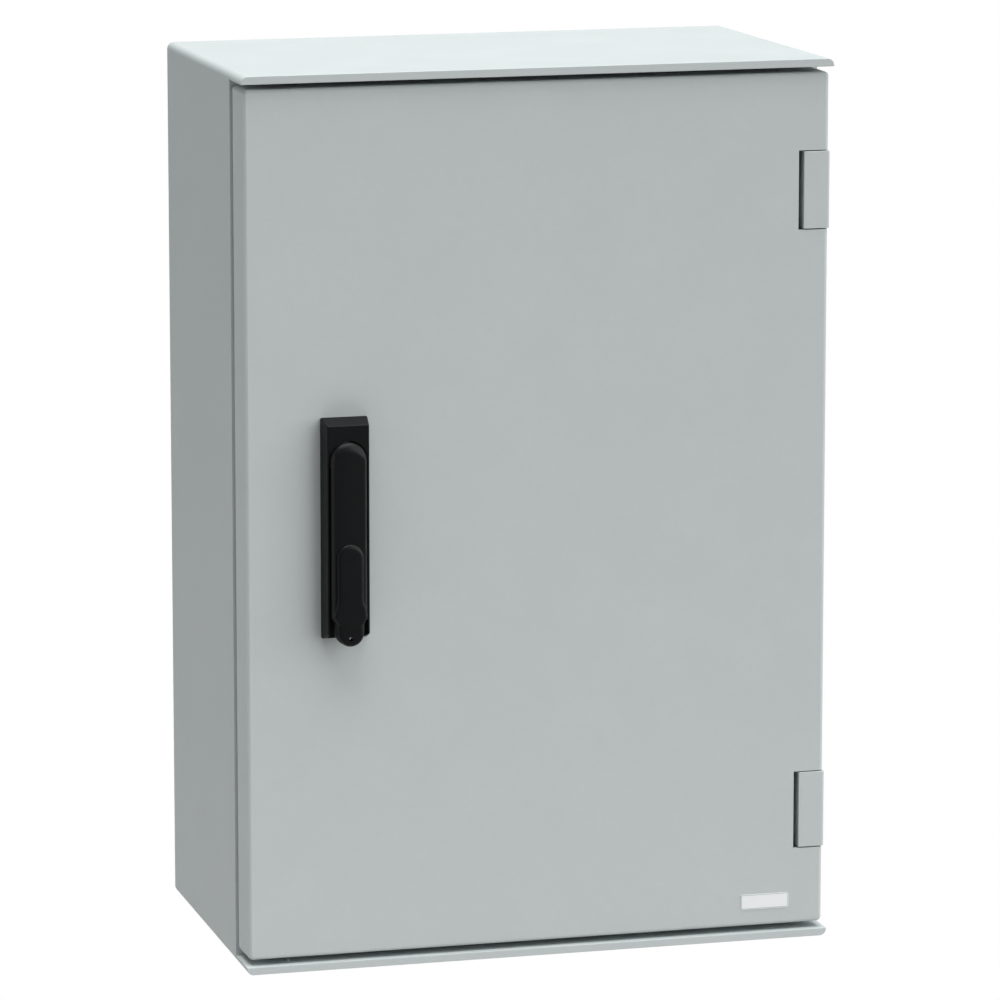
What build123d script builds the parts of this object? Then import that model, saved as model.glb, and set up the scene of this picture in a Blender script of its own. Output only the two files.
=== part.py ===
from build123d import *
from math import hypot
import os

# Wall-mounting enclosure moulded in glass-reinforced polyester, with a hinged door under a rain hood
# and a swing handle that drives a cam and two locking rods. Lengths are in millimetres.
# Frame: X to the right, Y towards the wall and Z up, as seen by someone facing the door.
# The origin lies on the back plane, at the centre of the four wall-fixing holes.

os.makedirs("parts", exist_ok=True)

# Body, overall
WIDTH = 437.0  # over the hood, at the front
HEIGHT = 647.0
DEPTH = 250.0
SIDE_TAPER = 3.6  # each side closes in by this much from front to back
TOP_TAPER = 1.9
CORNER_RADIUS = 5.0
WALL = 4.0
BACK_WALL = 4.0

# Hood, lip and the bay that the door closes
HOOD_THICKNESS = 5.8
LIP_THICKNESS = 5.6
HOOD_OVERHANG = 3.9
EDGE_BREAK = 0.4
LIP_RIB_FROM_LEFT = 33.5  # one rib only, near the lip's left end
LIP_RIB_WIDTH = 1.2
LIP_RIB_HEIGHT = 1.2
LIP_RIB_SETBACK = 13.0
FLANGE_THICKNESS = 4.0
UPSTAND_THICKNESS = 3.0
UPSTAND_RADIUS = 12.0

# Door
DOOR_SIDE_INSET = 2.5
DOOR_TOP_GAP = 4.2
DOOR_BOTTOM_GAP = 4.4
DOOR_DEPTH = 32.0
DOOR_BODY_GAP = 1.5
DOOR_WALL = 3.5
DOOR_SKIRT = 3.0
DOOR_CORNER_RADIUS = 3.2
DOOR_EDGE_RADIUS = 2.5

# Gasket in its channel on the back of the door
GASKET_WIDTH = 12.0
GASKET_THICKNESS = 8.0
CHANNEL_RIB = 2.5
CHANNEL_HEIGHT = 10.0

# Hinges
HINGE_FROM_END = 85.0  # middle of the block, from the end of the door
HINGE_BLOCK_HEIGHT = 56.0
HINGE_BLOCK_WIDTH = 19.6
HINGE_BLOCK_SIDE_INSET = 1.3
HINGE_BLOCK_PROUD = 0.5
HINGE_NOTCH_GAP = 3.9  # beside the block, so that the door's edge can swing round it
HINGE_END_GAP = 0.8
HINGE_AXIS_FROM_SIDE = 7.5
HINGE_AXIS_FROM_FACE = 7.1
HINGE_SEAL_GAP = 1.6  # between the swinging door's back corner and the upstand
HINGE_BLOCK_EDGE_RADIUS = 2.0
HINGE_SCREW_SHIFT = 1.5  # towards the opening, from the middle of the block
PIN_END_GAP = 0.5  # under the pin, in the blind hole of the lower lug
PIN_RADIUS = 2.5
PIN_ENTRY = 10.0
LUG_HEIGHT = 12.0
LUG_MARGIN = 4.0
RUNNING_CLEARANCE = 0.05
HINGE_SCREW_RADIUS = 2.5
HINGE_SCREW_SPACING = 32.0
HINGE_SCREW_DEPTH = 14.0
HINGE_SCREW_HEAD_RADIUS = 4.25
HINGE_SCREW_HEAD_HEIGHT = 3.0

# Wall fixing and mounting plate
FIXING_INSIDE_BOLT = 27.5  # sideways, from the plate's screws
FIXING_BEYOND_BOLT = 7.5  # up and down, from the plate's screws
FIXING_HOLE_RADIUS = 4.25
FIXING_PAD_RADIUS = 10.0
FIXING_PAD_HEIGHT = 2.0
PLATE_SIDE_GAP = 6.0  # so that the plate passes through the opening
PLATE_END_GAP = 11.0
PLATE_THICKNESS = 2.0
PLATE_CORNER_RADIUS = 6.0
PLATE_EDGE_TO_BOLT = 12.5
PLATE_STANDOFF = 20.0
PLATE_BOSS_RADIUS = 8.0
INSERT_RADIUS = 4.0
INSERT_LENGTH = 12.0
PLATE_SCREW_RADIUS = 3.0
SCREW_HOLE_CLEARANCE = 0.3
PLATE_HEAD_RADIUS = 5.5
PLATE_HEAD_HEIGHT = 4.0
PLATE_SCREW_SHORT = 1.0  # of the insert's length
WASHER_THICKNESS = 1.6
EARTH_BOLT_FROM_RIGHT = 55.0  # of the plate
EARTH_BOLT_FROM_BOTTOM = 40.0
EARTH_BOLT_RADIUS = 4.0
EARTH_BOLT_LENGTH = 24.0
EARTH_HEAD_HEIGHT = 5.0
EARTH_NUT_ACROSS_CORNERS = 15.0
EARTH_NUT_HEIGHT = 6.5

# Swing handle: its place on the door, then its pieces. "Proud" is height above the door's face.
SPINDLE_FROM_CHANNEL = 29.5  # from the inside of the gasket channel
SPINDLE_Z = 49.7
HANDLE_GASKET_THICKNESS = 0.8
HANDLE_GASKET_INSET = 0.6
TRAY_RIM = 1.2  # width of the face beside the recess
TRAY_SLOPE = 2.1  # how far each side leans in from the door to the face
TRAY_HEIGHT = 159.6
TRAY_FACE_HEIGHT = 150.8
TRAY_PROUD = 13.5
TRAY_DROP = 50.5  # centre of the tray below the spindle
TRAY_CORNER_RADIUS = 1.6
TRAY_EDGE_RADIUS = 0.7
TRAY_FLOOR = 1.7
LEVER_GAP = 0.9  # between the lever's outline and the wall of the tray's recess
LEVER_LIFT = 0.3  # between the lever's underside and the tray's face
LEVER_WIDTH = 26.4
LEVER_THICKNESS = 4.7
LEVER_SHOULDER = 113.2
LEVER_NECK = 116.4
LEVER_END = 122.3
LEVER_END_NARROWING = 2.0  # on each side
LEVER_EDGE_RADIUS = 2.8
PIVOT_PROUD = 12.0
PIVOT_RADIUS = 1.5
TONGUE_RADIUS = 5.0
TONGUE_WIDTH = 10.4
TONGUE_SIDE_GAP = 0.4
CHEEK_THICKNESS = 5.2
CROSS_PIN_INSET = 0.2  # from the outside of each cheek
HUB_DISC_INSET = 0.5  # from the lever's outline
HUB_DISC_THICKNESS = 1.8
HUB_DISC_LIFT = 0.3
JOURNAL_RADIUS = 8.0
JOURNAL_TAIL = 9.0  # from the door's face to the end of the journal
DOOR_JOURNAL_GAP = 1.0
CIRCLIP_THICKNESS = 1.0
CIRCLIP_WIDTH = 3.0
CIRCLIP_GROOVE = 1.0
CIRCLIP_MOUTH = 4.0
CIRCLIP_GAP = 0.1
TRAY_BOSS_RADIUS = 5.0
TRAY_BOSS_GAP = 0.4
TRAY_BOSS_UP = 20.3
TRAY_BOSS_DOWN = 95.0
CLAMP_THICKNESS = 2.0
CLAMP_WIDTH = 30.0
CLAMP_END = 10.0
CLAMP_CORNER_RADIUS = 3.0
SMALL_SCREW_RADIUS = 2.0
SMALL_HEAD_RADIUS = 3.6
SMALL_HEAD_HEIGHT = 2.6
TRAY_SCREW_ENTRY = 5.5

# Key cover and lock insert on the lever
COVER_INSET = 3.5  # from the lever's outline
COVER_PIVOT = 69.4
COVER_STRAIGHT = 99.4
COVER_FLARE = 112.6
COVER_FLARE_INSET = 0.7
COVER_NECK = 117.6
COVER_END = 124.1
COVER_CORNER_RADIUS = 1.5
COVER_END_INSET = 1.8  # from the lever's round end
COVER_THICKNESS = 1.8
COVER_LIFT = 0.1
COVER_EDGE_RADIUS = 0.8
COVER_PIN_RADIUS = 2.0
COVER_PIN_LENGTH = 3.2
COVER_SCREW_RADIUS = 1.0
COVER_HEAD_RADIUS = 3.4
COVER_HEAD_HEIGHT = 1.2
COVER_HEAD_GAP = 0.3
SEAL_HOLE = 127.8
SEAL_HOLE_RADIUS = 1.5
LOCK_DROP = 96.0
LOCK_RADIUS = 8.0
LOCK_SHOULDER = 1.0
LOCK_SHOULDER_HEIGHT = 1.5
LOCK_SETBACK = 0.1  # behind the lever's face, and ahead of its back
KEY_SLOT_LENGTH = 8.0
KEY_SLOT_WIDTH = 2.0
KEY_SLOT_DEPTH = 3.0

# Spindle, cam and locking rods inside the door
SPINDLE_SIDE = 7.0
SLEEVE_CORNER_GAP = 0.1  # over the corners of the square spindle
SLEEVE_OUTER_RADIUS = 7.5
CATCH_THICKNESS = 2.0
CATCH_LENGTH = 50.0
CATCH_WIDTH = 16.0
CATCH_CORNER_RADIUS = 2.0
CATCH_SETBACK = 1.0
CATCH_SCREW_SPACING = 36.0
CATCH_SCREW_ENTRY = 3.2
CAM_CATCH_GAP = 1.0
CAM_THICKNESS = 3.0
CAM_RADIUS = 11.0
CAM_ARM = 16.0
CAM_ARM_RADIUS = 6.0
CAM_NOSE_WIDTH = 14.0
CAM_NOSE_RADIUS = 2.0
CAM_NOSE_GAP = 2.2  # the nose stops this far short of the upstand
CAM_SCREW_RADIUS = 2.5
CAM_SCREW_DEPTH = 12.0
CAM_WASHER_RADIUS = 6.0
CAM_WASHER_THICKNESS = 1.0
CAM_HEAD_RADIUS = 4.25
CAM_HEAD_HEIGHT = 3.0
ROD_CAM_GAP = 1.3
ROD_THICKNESS = 3.0
ROD_WIDTH = 12.0
ROD_END_GAP = 1.0  # the rod stops this far short of the upstand
ROD_BEVEL = 3.0
ROD_PIN_RADIUS = 2.5
ROD_PIN_HEAD_RADIUS = 4.3
ROD_PIN_HEAD = 1.0
ROD_PIN_GAP = 0.5
ROD_SLOT_CLEARANCE = 0.8
ROD_EYE_MARGIN = 2.2
ROD_EYE_WALL = 3.5
ROD_EYE_RADIUS = 2.0
GUIDE_FROM_TIP = 35.3  # middle of the guide, from the end of the rod
GUIDE_WIDTH = 20.0
GUIDE_NECK_HEIGHT = 14.0
GUIDE_BASE_HEIGHT = 38.0
GUIDE_BASE_THICKNESS = 4.0
GUIDE_CORNER_RADIUS = 3.0
GUIDE_WALL = 3.0
GUIDE_CLEARANCE = 0.3
GUIDE_BOSS_RADIUS = 5.0
GUIDE_BOSS_HEIGHT = 5.0
GUIDE_SCREW_SPACING = 27.0
GUIDE_SCREW_ENTRY = 5.0

# Rating plate on the door, left blank
LABEL_WIDTH = 36.6
LABEL_HEIGHT = 11.2
LABEL_THICKNESS = 0.4
LABEL_CORNER_RADIUS = 1.0
LABEL_FROM_RIGHT = 44.0
LABEL_FROM_BOTTOM = 18.0

# Levels in Y, from the front to the wall
door_face_y = HOOD_OVERHANG - DEPTH
door_inner_y = door_face_y + DOOR_WALL
upstand_tip_y = door_inner_y + GASKET_THICKNESS
door_back_y = door_face_y + DOOR_DEPTH
rim_y = door_back_y + DOOR_BODY_GAP
flange_back_y = rim_y + FLANGE_THICKNESS
cam_front_y = flange_back_y + CATCH_THICKNESS + CAM_CATCH_GAP
cam_back_y = cam_front_y + CAM_THICKNESS
rod_front_y = cam_back_y + ROD_CAM_GAP
rod_back_y = rod_front_y + ROD_THICKNESS
boss_front_y = -BACK_WALL - PLATE_STANDOFF
plate_front_y = boss_front_y - PLATE_THICKNESS

# Heights and widths
bay_top = HEIGHT / 2 - HOOD_THICKNESS
bay_bottom = LIP_THICKNESS - HEIGHT / 2
door_top = bay_top - DOOR_TOP_GAP
door_bottom = bay_bottom + DOOR_BOTTOM_GAP
door_height = door_top - door_bottom
door_mid_z = (door_top + door_bottom) / 2
door_width = WIDTH - 2 * DOOR_SIDE_INSET
door_swing_radius = hypot(HINGE_AXIS_FROM_SIDE - DOOR_SIDE_INSET, DOOR_DEPTH - HINGE_AXIS_FROM_FACE)
# From the outside of the body to the outside of the sealing upstand, to a tenth of a millimetre
seal_inset = round(HINGE_AXIS_FROM_SIDE + door_swing_radius + HINGE_SEAL_GAP, 1)
seal_width = WIDTH - 2 * seal_inset
seal_height = HEIGHT - 2 * seal_inset
opening_width = seal_width - 2 * UPSTAND_THICKNESS
opening_height = seal_height - 2 * UPSTAND_THICKNESS
hinge_x = WIDTH / 2 - HINGE_AXIS_FROM_SIDE
hinge_y = door_face_y + HINGE_AXIS_FROM_FACE
channel_outer = GASKET_WIDTH / 2 - UPSTAND_THICKNESS / 2  # how far the channel passes the upstand's outside
channel_inner = channel_outer - GASKET_WIDTH - CHANNEL_RIB
spindle_x = SPINDLE_FROM_CHANNEL - seal_width / 2 - channel_inner
plate_width = opening_width - 2 * PLATE_SIDE_GAP
plate_height = opening_height - 2 * PLATE_END_GAP
plate_bolt_spacing = (plate_width - 2 * PLATE_EDGE_TO_BOLT, plate_height - 2 * PLATE_EDGE_TO_BOLT)
fixing_spacing = (
    plate_bolt_spacing[0] - 2 * FIXING_INSIDE_BOLT,
    plate_bolt_spacing[1] + 2 * FIXING_BEYOND_BOLT,
)
earth_place = (plate_width / 2 - EARTH_BOLT_FROM_RIGHT, EARTH_BOLT_FROM_BOTTOM - plate_height / 2)
tray_recess_radius = LEVER_WIDTH / 2 + LEVER_GAP
tray_face_width = 2 * (tray_recess_radius + TRAY_RIM)
tray_width = tray_face_width + 2 * TRAY_SLOPE
lever_end_radius = LEVER_WIDTH / 2 - LEVER_END_NARROWING
cover_radius = LEVER_WIDTH / 2 - COVER_INSET
cover_flare = LEVER_WIDTH / 2 - COVER_FLARE_INSET
cover_end_radius = lever_end_radius - COVER_END_INSET
sleeve_inner_radius = round(SPINDLE_SIDE * 0.5**0.5 + SLEEVE_CORNER_GAP, 2)


def front_plane(y):
    """Plane at depth y as seen from the front: X right, Z up, extruding forward."""
    return Plane.XZ.offset(-y)


def handle_plane(proud):
    """Front plane at a height above the door's face, centred on the spindle."""
    return Plane(origin=(spindle_x, door_face_y - proud, SPINDLE_Z), x_dir=(1, 0, 0), z_dir=(0, -1, 0))


def spindle_plane(y):
    """Front plane at depth y, centred on the spindle."""
    return handle_plane(door_face_y - y)


def outer_size(y):
    """Width and height of the tapered body at depth y."""
    share = 1 + y / DEPTH
    return WIDTH - 2 * SIDE_TAPER * share, HEIGHT - 2 * TOP_TAPER * share


# Places that more than one piece shares
hinge_heights = {"upper": door_top - HINGE_FROM_END, "lower": door_bottom + HINGE_FROM_END}
block_right = WIDTH / 2 - HINGE_BLOCK_SIDE_INSET
block_left = block_right - HINGE_BLOCK_WIDTH
block_mid_x = (block_left + block_right) / 2
hinge_screw_x = block_mid_x - HINGE_SCREW_SHIFT
notch_left = block_left - HINGE_NOTCH_GAP
notch_height = HINGE_BLOCK_HEIGHT + 2 * HINGE_END_GAP
hinge_screw_places = [
    (hinge_screw_x, z + side * HINGE_SCREW_SPACING / 2) for z in hinge_heights.values() for side in (-1, 1)
]

pin_rise = CAM_ARM * 0.5**0.5  # the cam's arms rest on a diagonal
rod_mid = CAM_ARM * (1 + 0.5**0.5) / 2  # middle of the pin's sideways travel
# Each rod's side of the spindle in X, and its way out in Z
rod_sides = {"upper": (-1, 1), "lower": (1, -1)}

rod_tip = opening_height / 2 - ROD_END_GAP
# Centre of each rod guide, in X and Z
guides = {
    name: (spindle_x + across * rod_mid, up * (rod_tip - GUIDE_FROM_TIP))
    for name, (across, up) in rod_sides.items()
}

catch_x = -opening_width / 2 - CATCH_SETBACK - CATCH_WIDTH / 2
catch_z = opening_height / 2 + CATCH_SETBACK + CATCH_WIDTH / 2
# Centre of each catch plate, and whether it lies upright
catches = {
    "side": (catch_x, SPINDLE_Z, True),
    "upper": (spindle_x - rod_mid, catch_z, False),
    "lower": (spindle_x + rod_mid, -catch_z, False),
}


def catch_screw_places():
    """Front-view places of the two screws in every catch plate."""
    places = []
    for x, z, upright in catches.values():
        for side in (-1, 1):
            reach = side * CATCH_SCREW_SPACING / 2
            places.append((x, z + reach) if upright else (x + reach, z))
    return places


# Enclosure body: one moulding with hood, lip, sealing upstand, plate bosses and fixing pads
with BuildPart() as enclosure_body:
    for y in (-DEPTH, 0):
        with BuildSketch(front_plane(y)):
            RectangleRounded(*outer_size(y), CORNER_RADIUS)
    loft()
    with BuildSketch(front_plane(rim_y)):
        with Locations((0, (bay_top + bay_bottom) / 2)):
            Rectangle(2 * WIDTH, bay_top - bay_bottom)
    extrude(amount=DEPTH, mode=Mode.SUBTRACT)
    for y in (flange_back_y, -BACK_WALL):
        width, height = outer_size(y)
        with BuildSketch(front_plane(y)):
            RectangleRounded(width - 2 * WALL, height - 2 * WALL, CORNER_RADIUS)
    loft(mode=Mode.SUBTRACT)
    with BuildSketch(front_plane(rim_y)):
        with Locations((LIP_RIB_FROM_LEFT - WIDTH / 2, bay_bottom + (LIP_RIB_HEIGHT - EDGE_BREAK) / 2)):
            Rectangle(LIP_RIB_WIDTH, LIP_RIB_HEIGHT + EDGE_BREAK)
    extrude(amount=rim_y + DEPTH - LIP_RIB_SETBACK)
    with BuildSketch(front_plane(rim_y)):
        RectangleRounded(seal_width, seal_height, UPSTAND_RADIUS)
    extrude(amount=rim_y - upstand_tip_y)
    with BuildSketch(front_plane(flange_back_y)):
        RectangleRounded(opening_width, opening_height, UPSTAND_RADIUS - UPSTAND_THICKNESS)
    extrude(amount=flange_back_y - upstand_tip_y, mode=Mode.SUBTRACT)
    with BuildSketch(front_plane(-BACK_WALL)):
        with GridLocations(*plate_bolt_spacing, 2, 2):
            Circle(PLATE_BOSS_RADIUS)
    extrude(amount=PLATE_STANDOFF)
    with BuildSketch(front_plane(-BACK_WALL)):
        with GridLocations(*fixing_spacing, 2, 2):
            Circle(FIXING_PAD_RADIUS)
    extrude(amount=FIXING_PAD_HEIGHT)
    with BuildSketch(front_plane(0)):
        with GridLocations(*fixing_spacing, 2, 2):
            Circle(FIXING_HOLE_RADIUS)
    extrude(amount=BACK_WALL + FIXING_PAD_HEIGHT, mode=Mode.SUBTRACT)
    with BuildSketch(front_plane(boss_front_y)):
        with GridLocations(*plate_bolt_spacing, 2, 2):
            Circle(INSERT_RADIUS)
    extrude(amount=-INSERT_LENGTH, mode=Mode.SUBTRACT)
    with BuildSketch(front_plane(flange_back_y)):
        with Locations(*hinge_screw_places):
            Circle(HINGE_SCREW_RADIUS)
    extrude(amount=FLANGE_THICKNESS, mode=Mode.SUBTRACT)
    with BuildSketch(front_plane(flange_back_y)):
        with Locations(*catch_screw_places()):
            Circle(SMALL_SCREW_RADIUS)
    extrude(amount=CATCH_SCREW_ENTRY, mode=Mode.SUBTRACT)
    front_edges = enclosure_body.edges().group_by(Axis.Y)[0].filter_by(Axis.X)
    fillet(front_edges, radius=EDGE_BREAK)
enclosure_body.part.label = "enclosure_body"
export_step(enclosure_body.part, "parts/enclosure_body.step")

# Door: a moulded pan with a channel for the gasket, lugs for the hinge pins and bosses for the rod guides
channel_sizes = {
    "outer_rib_outside": channel_outer + CHANNEL_RIB,
    "outer_rib_inside": channel_outer,
    "inner_rib_outside": channel_outer - GASKET_WIDTH,
    "inner_rib_inside": channel_inner,
}


def channel_outline(name, mode=Mode.ADD):
    """One of the four rounded rectangles that bound the gasket channel's two ribs."""
    grow = channel_sizes[name]
    RectangleRounded(seal_width + 2 * grow, seal_height + 2 * grow, UPSTAND_RADIUS + grow, mode=mode)


lug_left = hinge_x - PIN_RADIUS - LUG_MARGIN
lug_right = door_width / 2 - DOOR_SKIRT / 2
lug_back_y = hinge_y + PIN_RADIUS + LUG_MARGIN
with BuildPart() as door:
    with BuildSketch(front_plane(door_back_y)):
        with Locations((0, door_mid_z)):
            RectangleRounded(door_width, door_height, DOOR_CORNER_RADIUS)
    extrude(amount=DOOR_DEPTH)
    fillet(door.faces().sort_by(Axis.Y)[0].edges(), radius=DOOR_EDGE_RADIUS)
    with BuildSketch(front_plane(door_back_y)):
        with Locations((0, door_mid_z)):
            Rectangle(door_width - 2 * DOOR_SKIRT, door_height - 2 * DOOR_SKIRT)
    extrude(amount=DOOR_DEPTH - DOOR_WALL, mode=Mode.SUBTRACT)
    with BuildSketch(front_plane(door_inner_y + CHANNEL_HEIGHT)):
        channel_outline("outer_rib_outside")
        channel_outline("outer_rib_inside", Mode.SUBTRACT)
        channel_outline("inner_rib_outside")
        channel_outline("inner_rib_inside", Mode.SUBTRACT)
    extrude(amount=CHANNEL_HEIGHT)
    for z in hinge_heights.values():
        for side in (-1, 1):
            lug_z = z + side * (notch_height + LUG_HEIGHT) / 2
            with Locations(((lug_left + lug_right) / 2, (lug_back_y + door_inner_y) / 2, lug_z)):
                Box(lug_right - lug_left, lug_back_y - door_inner_y, LUG_HEIGHT)
    with BuildSketch(front_plane(door_inner_y + GUIDE_BOSS_HEIGHT)):
        for guide_place in guides.values():
            with Locations(guide_place):
                with GridLocations(0, GUIDE_SCREW_SPACING, 1, 2):
                    Circle(GUIDE_BOSS_RADIUS)
    extrude(amount=GUIDE_BOSS_HEIGHT)
    with BuildSketch(front_plane(door_inner_y + GUIDE_BOSS_HEIGHT)):
        for guide_place in guides.values():
            with Locations(guide_place):
                with GridLocations(0, GUIDE_SCREW_SPACING, 1, 2):
                    Circle(SMALL_SCREW_RADIUS)
    extrude(amount=GUIDE_SCREW_ENTRY, mode=Mode.SUBTRACT)
    for z in hinge_heights.values():
        with Locations((notch_left + DOOR_DEPTH, (door_face_y + door_back_y) / 2, z)):
            Box(2 * DOOR_DEPTH, 2 * DOOR_DEPTH, notch_height, mode=Mode.SUBTRACT)
        with Locations((hinge_x, hinge_y, z + (notch_height + LUG_HEIGHT) / 2)):
            Cylinder(PIN_RADIUS + RUNNING_CLEARANCE, LUG_HEIGHT, mode=Mode.SUBTRACT)
        with Locations((hinge_x, hinge_y, z - (notch_height + PIN_ENTRY) / 2)):
            Cylinder(PIN_RADIUS + RUNNING_CLEARANCE, PIN_ENTRY, mode=Mode.SUBTRACT)
    with BuildSketch(handle_plane(0)):
        Circle(JOURNAL_RADIUS + DOOR_JOURNAL_GAP)
        with Locations((0, TRAY_BOSS_UP), (0, -TRAY_BOSS_DOWN)):
            Circle(TRAY_BOSS_RADIUS + TRAY_BOSS_GAP)
    extrude(amount=-DOOR_WALL, mode=Mode.SUBTRACT)
door.part.label = "door"
export_step(door.part, "parts/door.step")

# Foamed gasket, poured into the door's channel
with BuildPart() as door_gasket:
    with BuildSketch(front_plane(upstand_tip_y)):
        channel_outline("outer_rib_inside")
        channel_outline("inner_rib_outside", Mode.SUBTRACT)
    extrude(amount=GASKET_THICKNESS)
door_gasket.part.label = "door_gasket"
export_step(door_gasket.part, "parts/door_gasket.step")

# Blank rating plate
with BuildPart() as rating_plate:
    with BuildSketch(front_plane(door_face_y)):
        with Locations((door_width / 2 - LABEL_FROM_RIGHT, door_bottom + LABEL_FROM_BOTTOM)):
            RectangleRounded(LABEL_WIDTH, LABEL_HEIGHT, LABEL_CORNER_RADIUS)
    extrude(amount=LABEL_THICKNESS)
rating_plate.part.label = "rating_plate"
export_step(rating_plate.part, "parts/rating_plate.step")

# Hinge blocks on the body's flange, each with its pin
block_front_y = door_face_y - HINGE_BLOCK_PROUD
for name, z in hinge_heights.items():
    with BuildPart() as hinge_block:
        with BuildSketch(Plane.XY.offset(z - HINGE_BLOCK_HEIGHT / 2)):
            with Locations((block_mid_x, (block_front_y + rim_y) / 2)):
                Rectangle(HINGE_BLOCK_WIDTH, rim_y - block_front_y)
        extrude(amount=HINGE_BLOCK_HEIGHT)
        front_face = hinge_block.faces().sort_by(Axis.Y)[0]
        right_edge = front_face.edges().sort_by(Axis.X)[-1]
        fillet(right_edge, radius=HINGE_BLOCK_EDGE_RADIUS)
        fillet(hinge_block.faces().sort_by(Axis.Y)[0].edges(), radius=EDGE_BREAK)
        with Locations((hinge_x, hinge_y, z)):
            Cylinder(PIN_RADIUS, HINGE_BLOCK_HEIGHT, mode=Mode.SUBTRACT)
        with BuildSketch(front_plane(rim_y)):
            with Locations((hinge_screw_x, z)):
                with GridLocations(0, HINGE_SCREW_SPACING, 1, 2):
                    Circle(HINGE_SCREW_RADIUS)
        extrude(amount=HINGE_SCREW_DEPTH, mode=Mode.SUBTRACT)
    hinge_block.part.label = f"hinge_block_{name}"
    export_step(hinge_block.part, f"parts/hinge_block_{name}.step")

    with BuildPart() as hinge_pin:
        pin_top = z + HINGE_BLOCK_HEIGHT / 2 + HINGE_END_GAP + PIN_ENTRY
        pin_bottom = z - notch_height / 2 - PIN_ENTRY + PIN_END_GAP
        with BuildSketch(Plane.XY.offset(pin_bottom)):
            with Locations((hinge_x, hinge_y)):
                Circle(PIN_RADIUS)
        extrude(amount=pin_top - pin_bottom)
    hinge_pin.part.label = f"hinge_pin_{name}"
    export_step(hinge_pin.part, f"parts/hinge_pin_{name}.step")

# Screws that hold the hinge blocks, driven from inside the body
with BuildPart() as hinge_screws:
    with BuildSketch(front_plane(flange_back_y)):
        with Locations(*hinge_screw_places):
            Circle(HINGE_SCREW_RADIUS)
    extrude(amount=FLANGE_THICKNESS + HINGE_SCREW_DEPTH)
    with BuildSketch(front_plane(flange_back_y)):
        with Locations(*hinge_screw_places):
            Circle(HINGE_SCREW_HEAD_RADIUS)
    extrude(amount=-HINGE_SCREW_HEAD_HEIGHT)
hinge_screws.part.label = "hinge_screws"
export_step(hinge_screws.part, "parts/hinge_screws.step")

# Handle tray: tapered black escutcheon with a recess that is open at its lower end
tray_floor_proud = HANDLE_GASKET_THICKNESS + TRAY_FLOOR
with BuildPart() as handle_tray:
    with BuildSketch(handle_plane(HANDLE_GASKET_THICKNESS)):
        with Locations((0, -TRAY_DROP)):
            RectangleRounded(tray_width, TRAY_HEIGHT, TRAY_CORNER_RADIUS)
    with BuildSketch(handle_plane(TRAY_PROUD)):
        with Locations((0, -TRAY_DROP)):
            RectangleRounded(tray_face_width, TRAY_FACE_HEIGHT, TRAY_CORNER_RADIUS / 2)
    loft()
    fillet(handle_tray.faces().sort_by(Axis.Y)[0].edges(), radius=TRAY_EDGE_RADIUS)
    with BuildSketch(handle_plane(tray_floor_proud)):
        Circle(tray_recess_radius)
        with Locations((0, -TRAY_HEIGHT / 2)):
            Rectangle(2 * tray_recess_radius, TRAY_HEIGHT)
    extrude(amount=TRAY_PROUD, mode=Mode.SUBTRACT)
    with BuildSketch(handle_plane(tray_floor_proud)):
        with Locations((0, TRAY_BOSS_UP), (0, -TRAY_BOSS_DOWN)):
            Circle(TRAY_BOSS_RADIUS)
    extrude(amount=-tray_floor_proud - DOOR_WALL)
    with BuildSketch(handle_plane(-DOOR_WALL)):
        with Locations((0, TRAY_BOSS_UP), (0, -TRAY_BOSS_DOWN)):
            Circle(SMALL_SCREW_RADIUS)
    extrude(amount=TRAY_SCREW_ENTRY, mode=Mode.SUBTRACT)
    with BuildSketch(handle_plane(HANDLE_GASKET_THICKNESS)):
        Circle(JOURNAL_RADIUS + RUNNING_CLEARANCE)
    extrude(amount=TRAY_FLOOR, mode=Mode.SUBTRACT)
handle_tray.part.label = "handle_tray"
export_step(handle_tray.part, "parts/handle_tray.step")

# Flat gasket between the tray and the door
with BuildPart() as handle_gasket:
    with BuildSketch(handle_plane(0)):
        with Locations((0, -TRAY_DROP)):
            RectangleRounded(
                tray_width - 2 * HANDLE_GASKET_INSET,
                TRAY_HEIGHT - 2 * HANDLE_GASKET_INSET,
                TRAY_CORNER_RADIUS,
            )
        Circle(JOURNAL_RADIUS + DOOR_JOURNAL_GAP, mode=Mode.SUBTRACT)
        with Locations((0, TRAY_BOSS_UP), (0, -TRAY_BOSS_DOWN)):
            Circle(TRAY_BOSS_RADIUS, mode=Mode.SUBTRACT)
    extrude(amount=HANDLE_GASKET_THICKNESS)
handle_gasket.part.label = "handle_gasket"
export_step(handle_gasket.part, "parts/handle_gasket.step")

# Steel clamp plate behind the door, which the tray's screws pull up
with BuildPart() as handle_clamp:
    clamp_top = TRAY_BOSS_UP + CLAMP_END
    clamp_bottom = -TRAY_BOSS_DOWN - CLAMP_END
    with BuildSketch(handle_plane(-DOOR_WALL)):
        with Locations((0, (clamp_top + clamp_bottom) / 2)):
            RectangleRounded(CLAMP_WIDTH, clamp_top - clamp_bottom, CLAMP_CORNER_RADIUS)
        Circle(JOURNAL_RADIUS + DOOR_JOURNAL_GAP, mode=Mode.SUBTRACT)
        with Locations((0, TRAY_BOSS_UP), (0, -TRAY_BOSS_DOWN)):
            Circle(SMALL_SCREW_RADIUS, mode=Mode.SUBTRACT)
    extrude(amount=-CLAMP_THICKNESS)
handle_clamp.part.label = "handle_clamp"
export_step(handle_clamp.part, "parts/handle_clamp.step")

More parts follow.
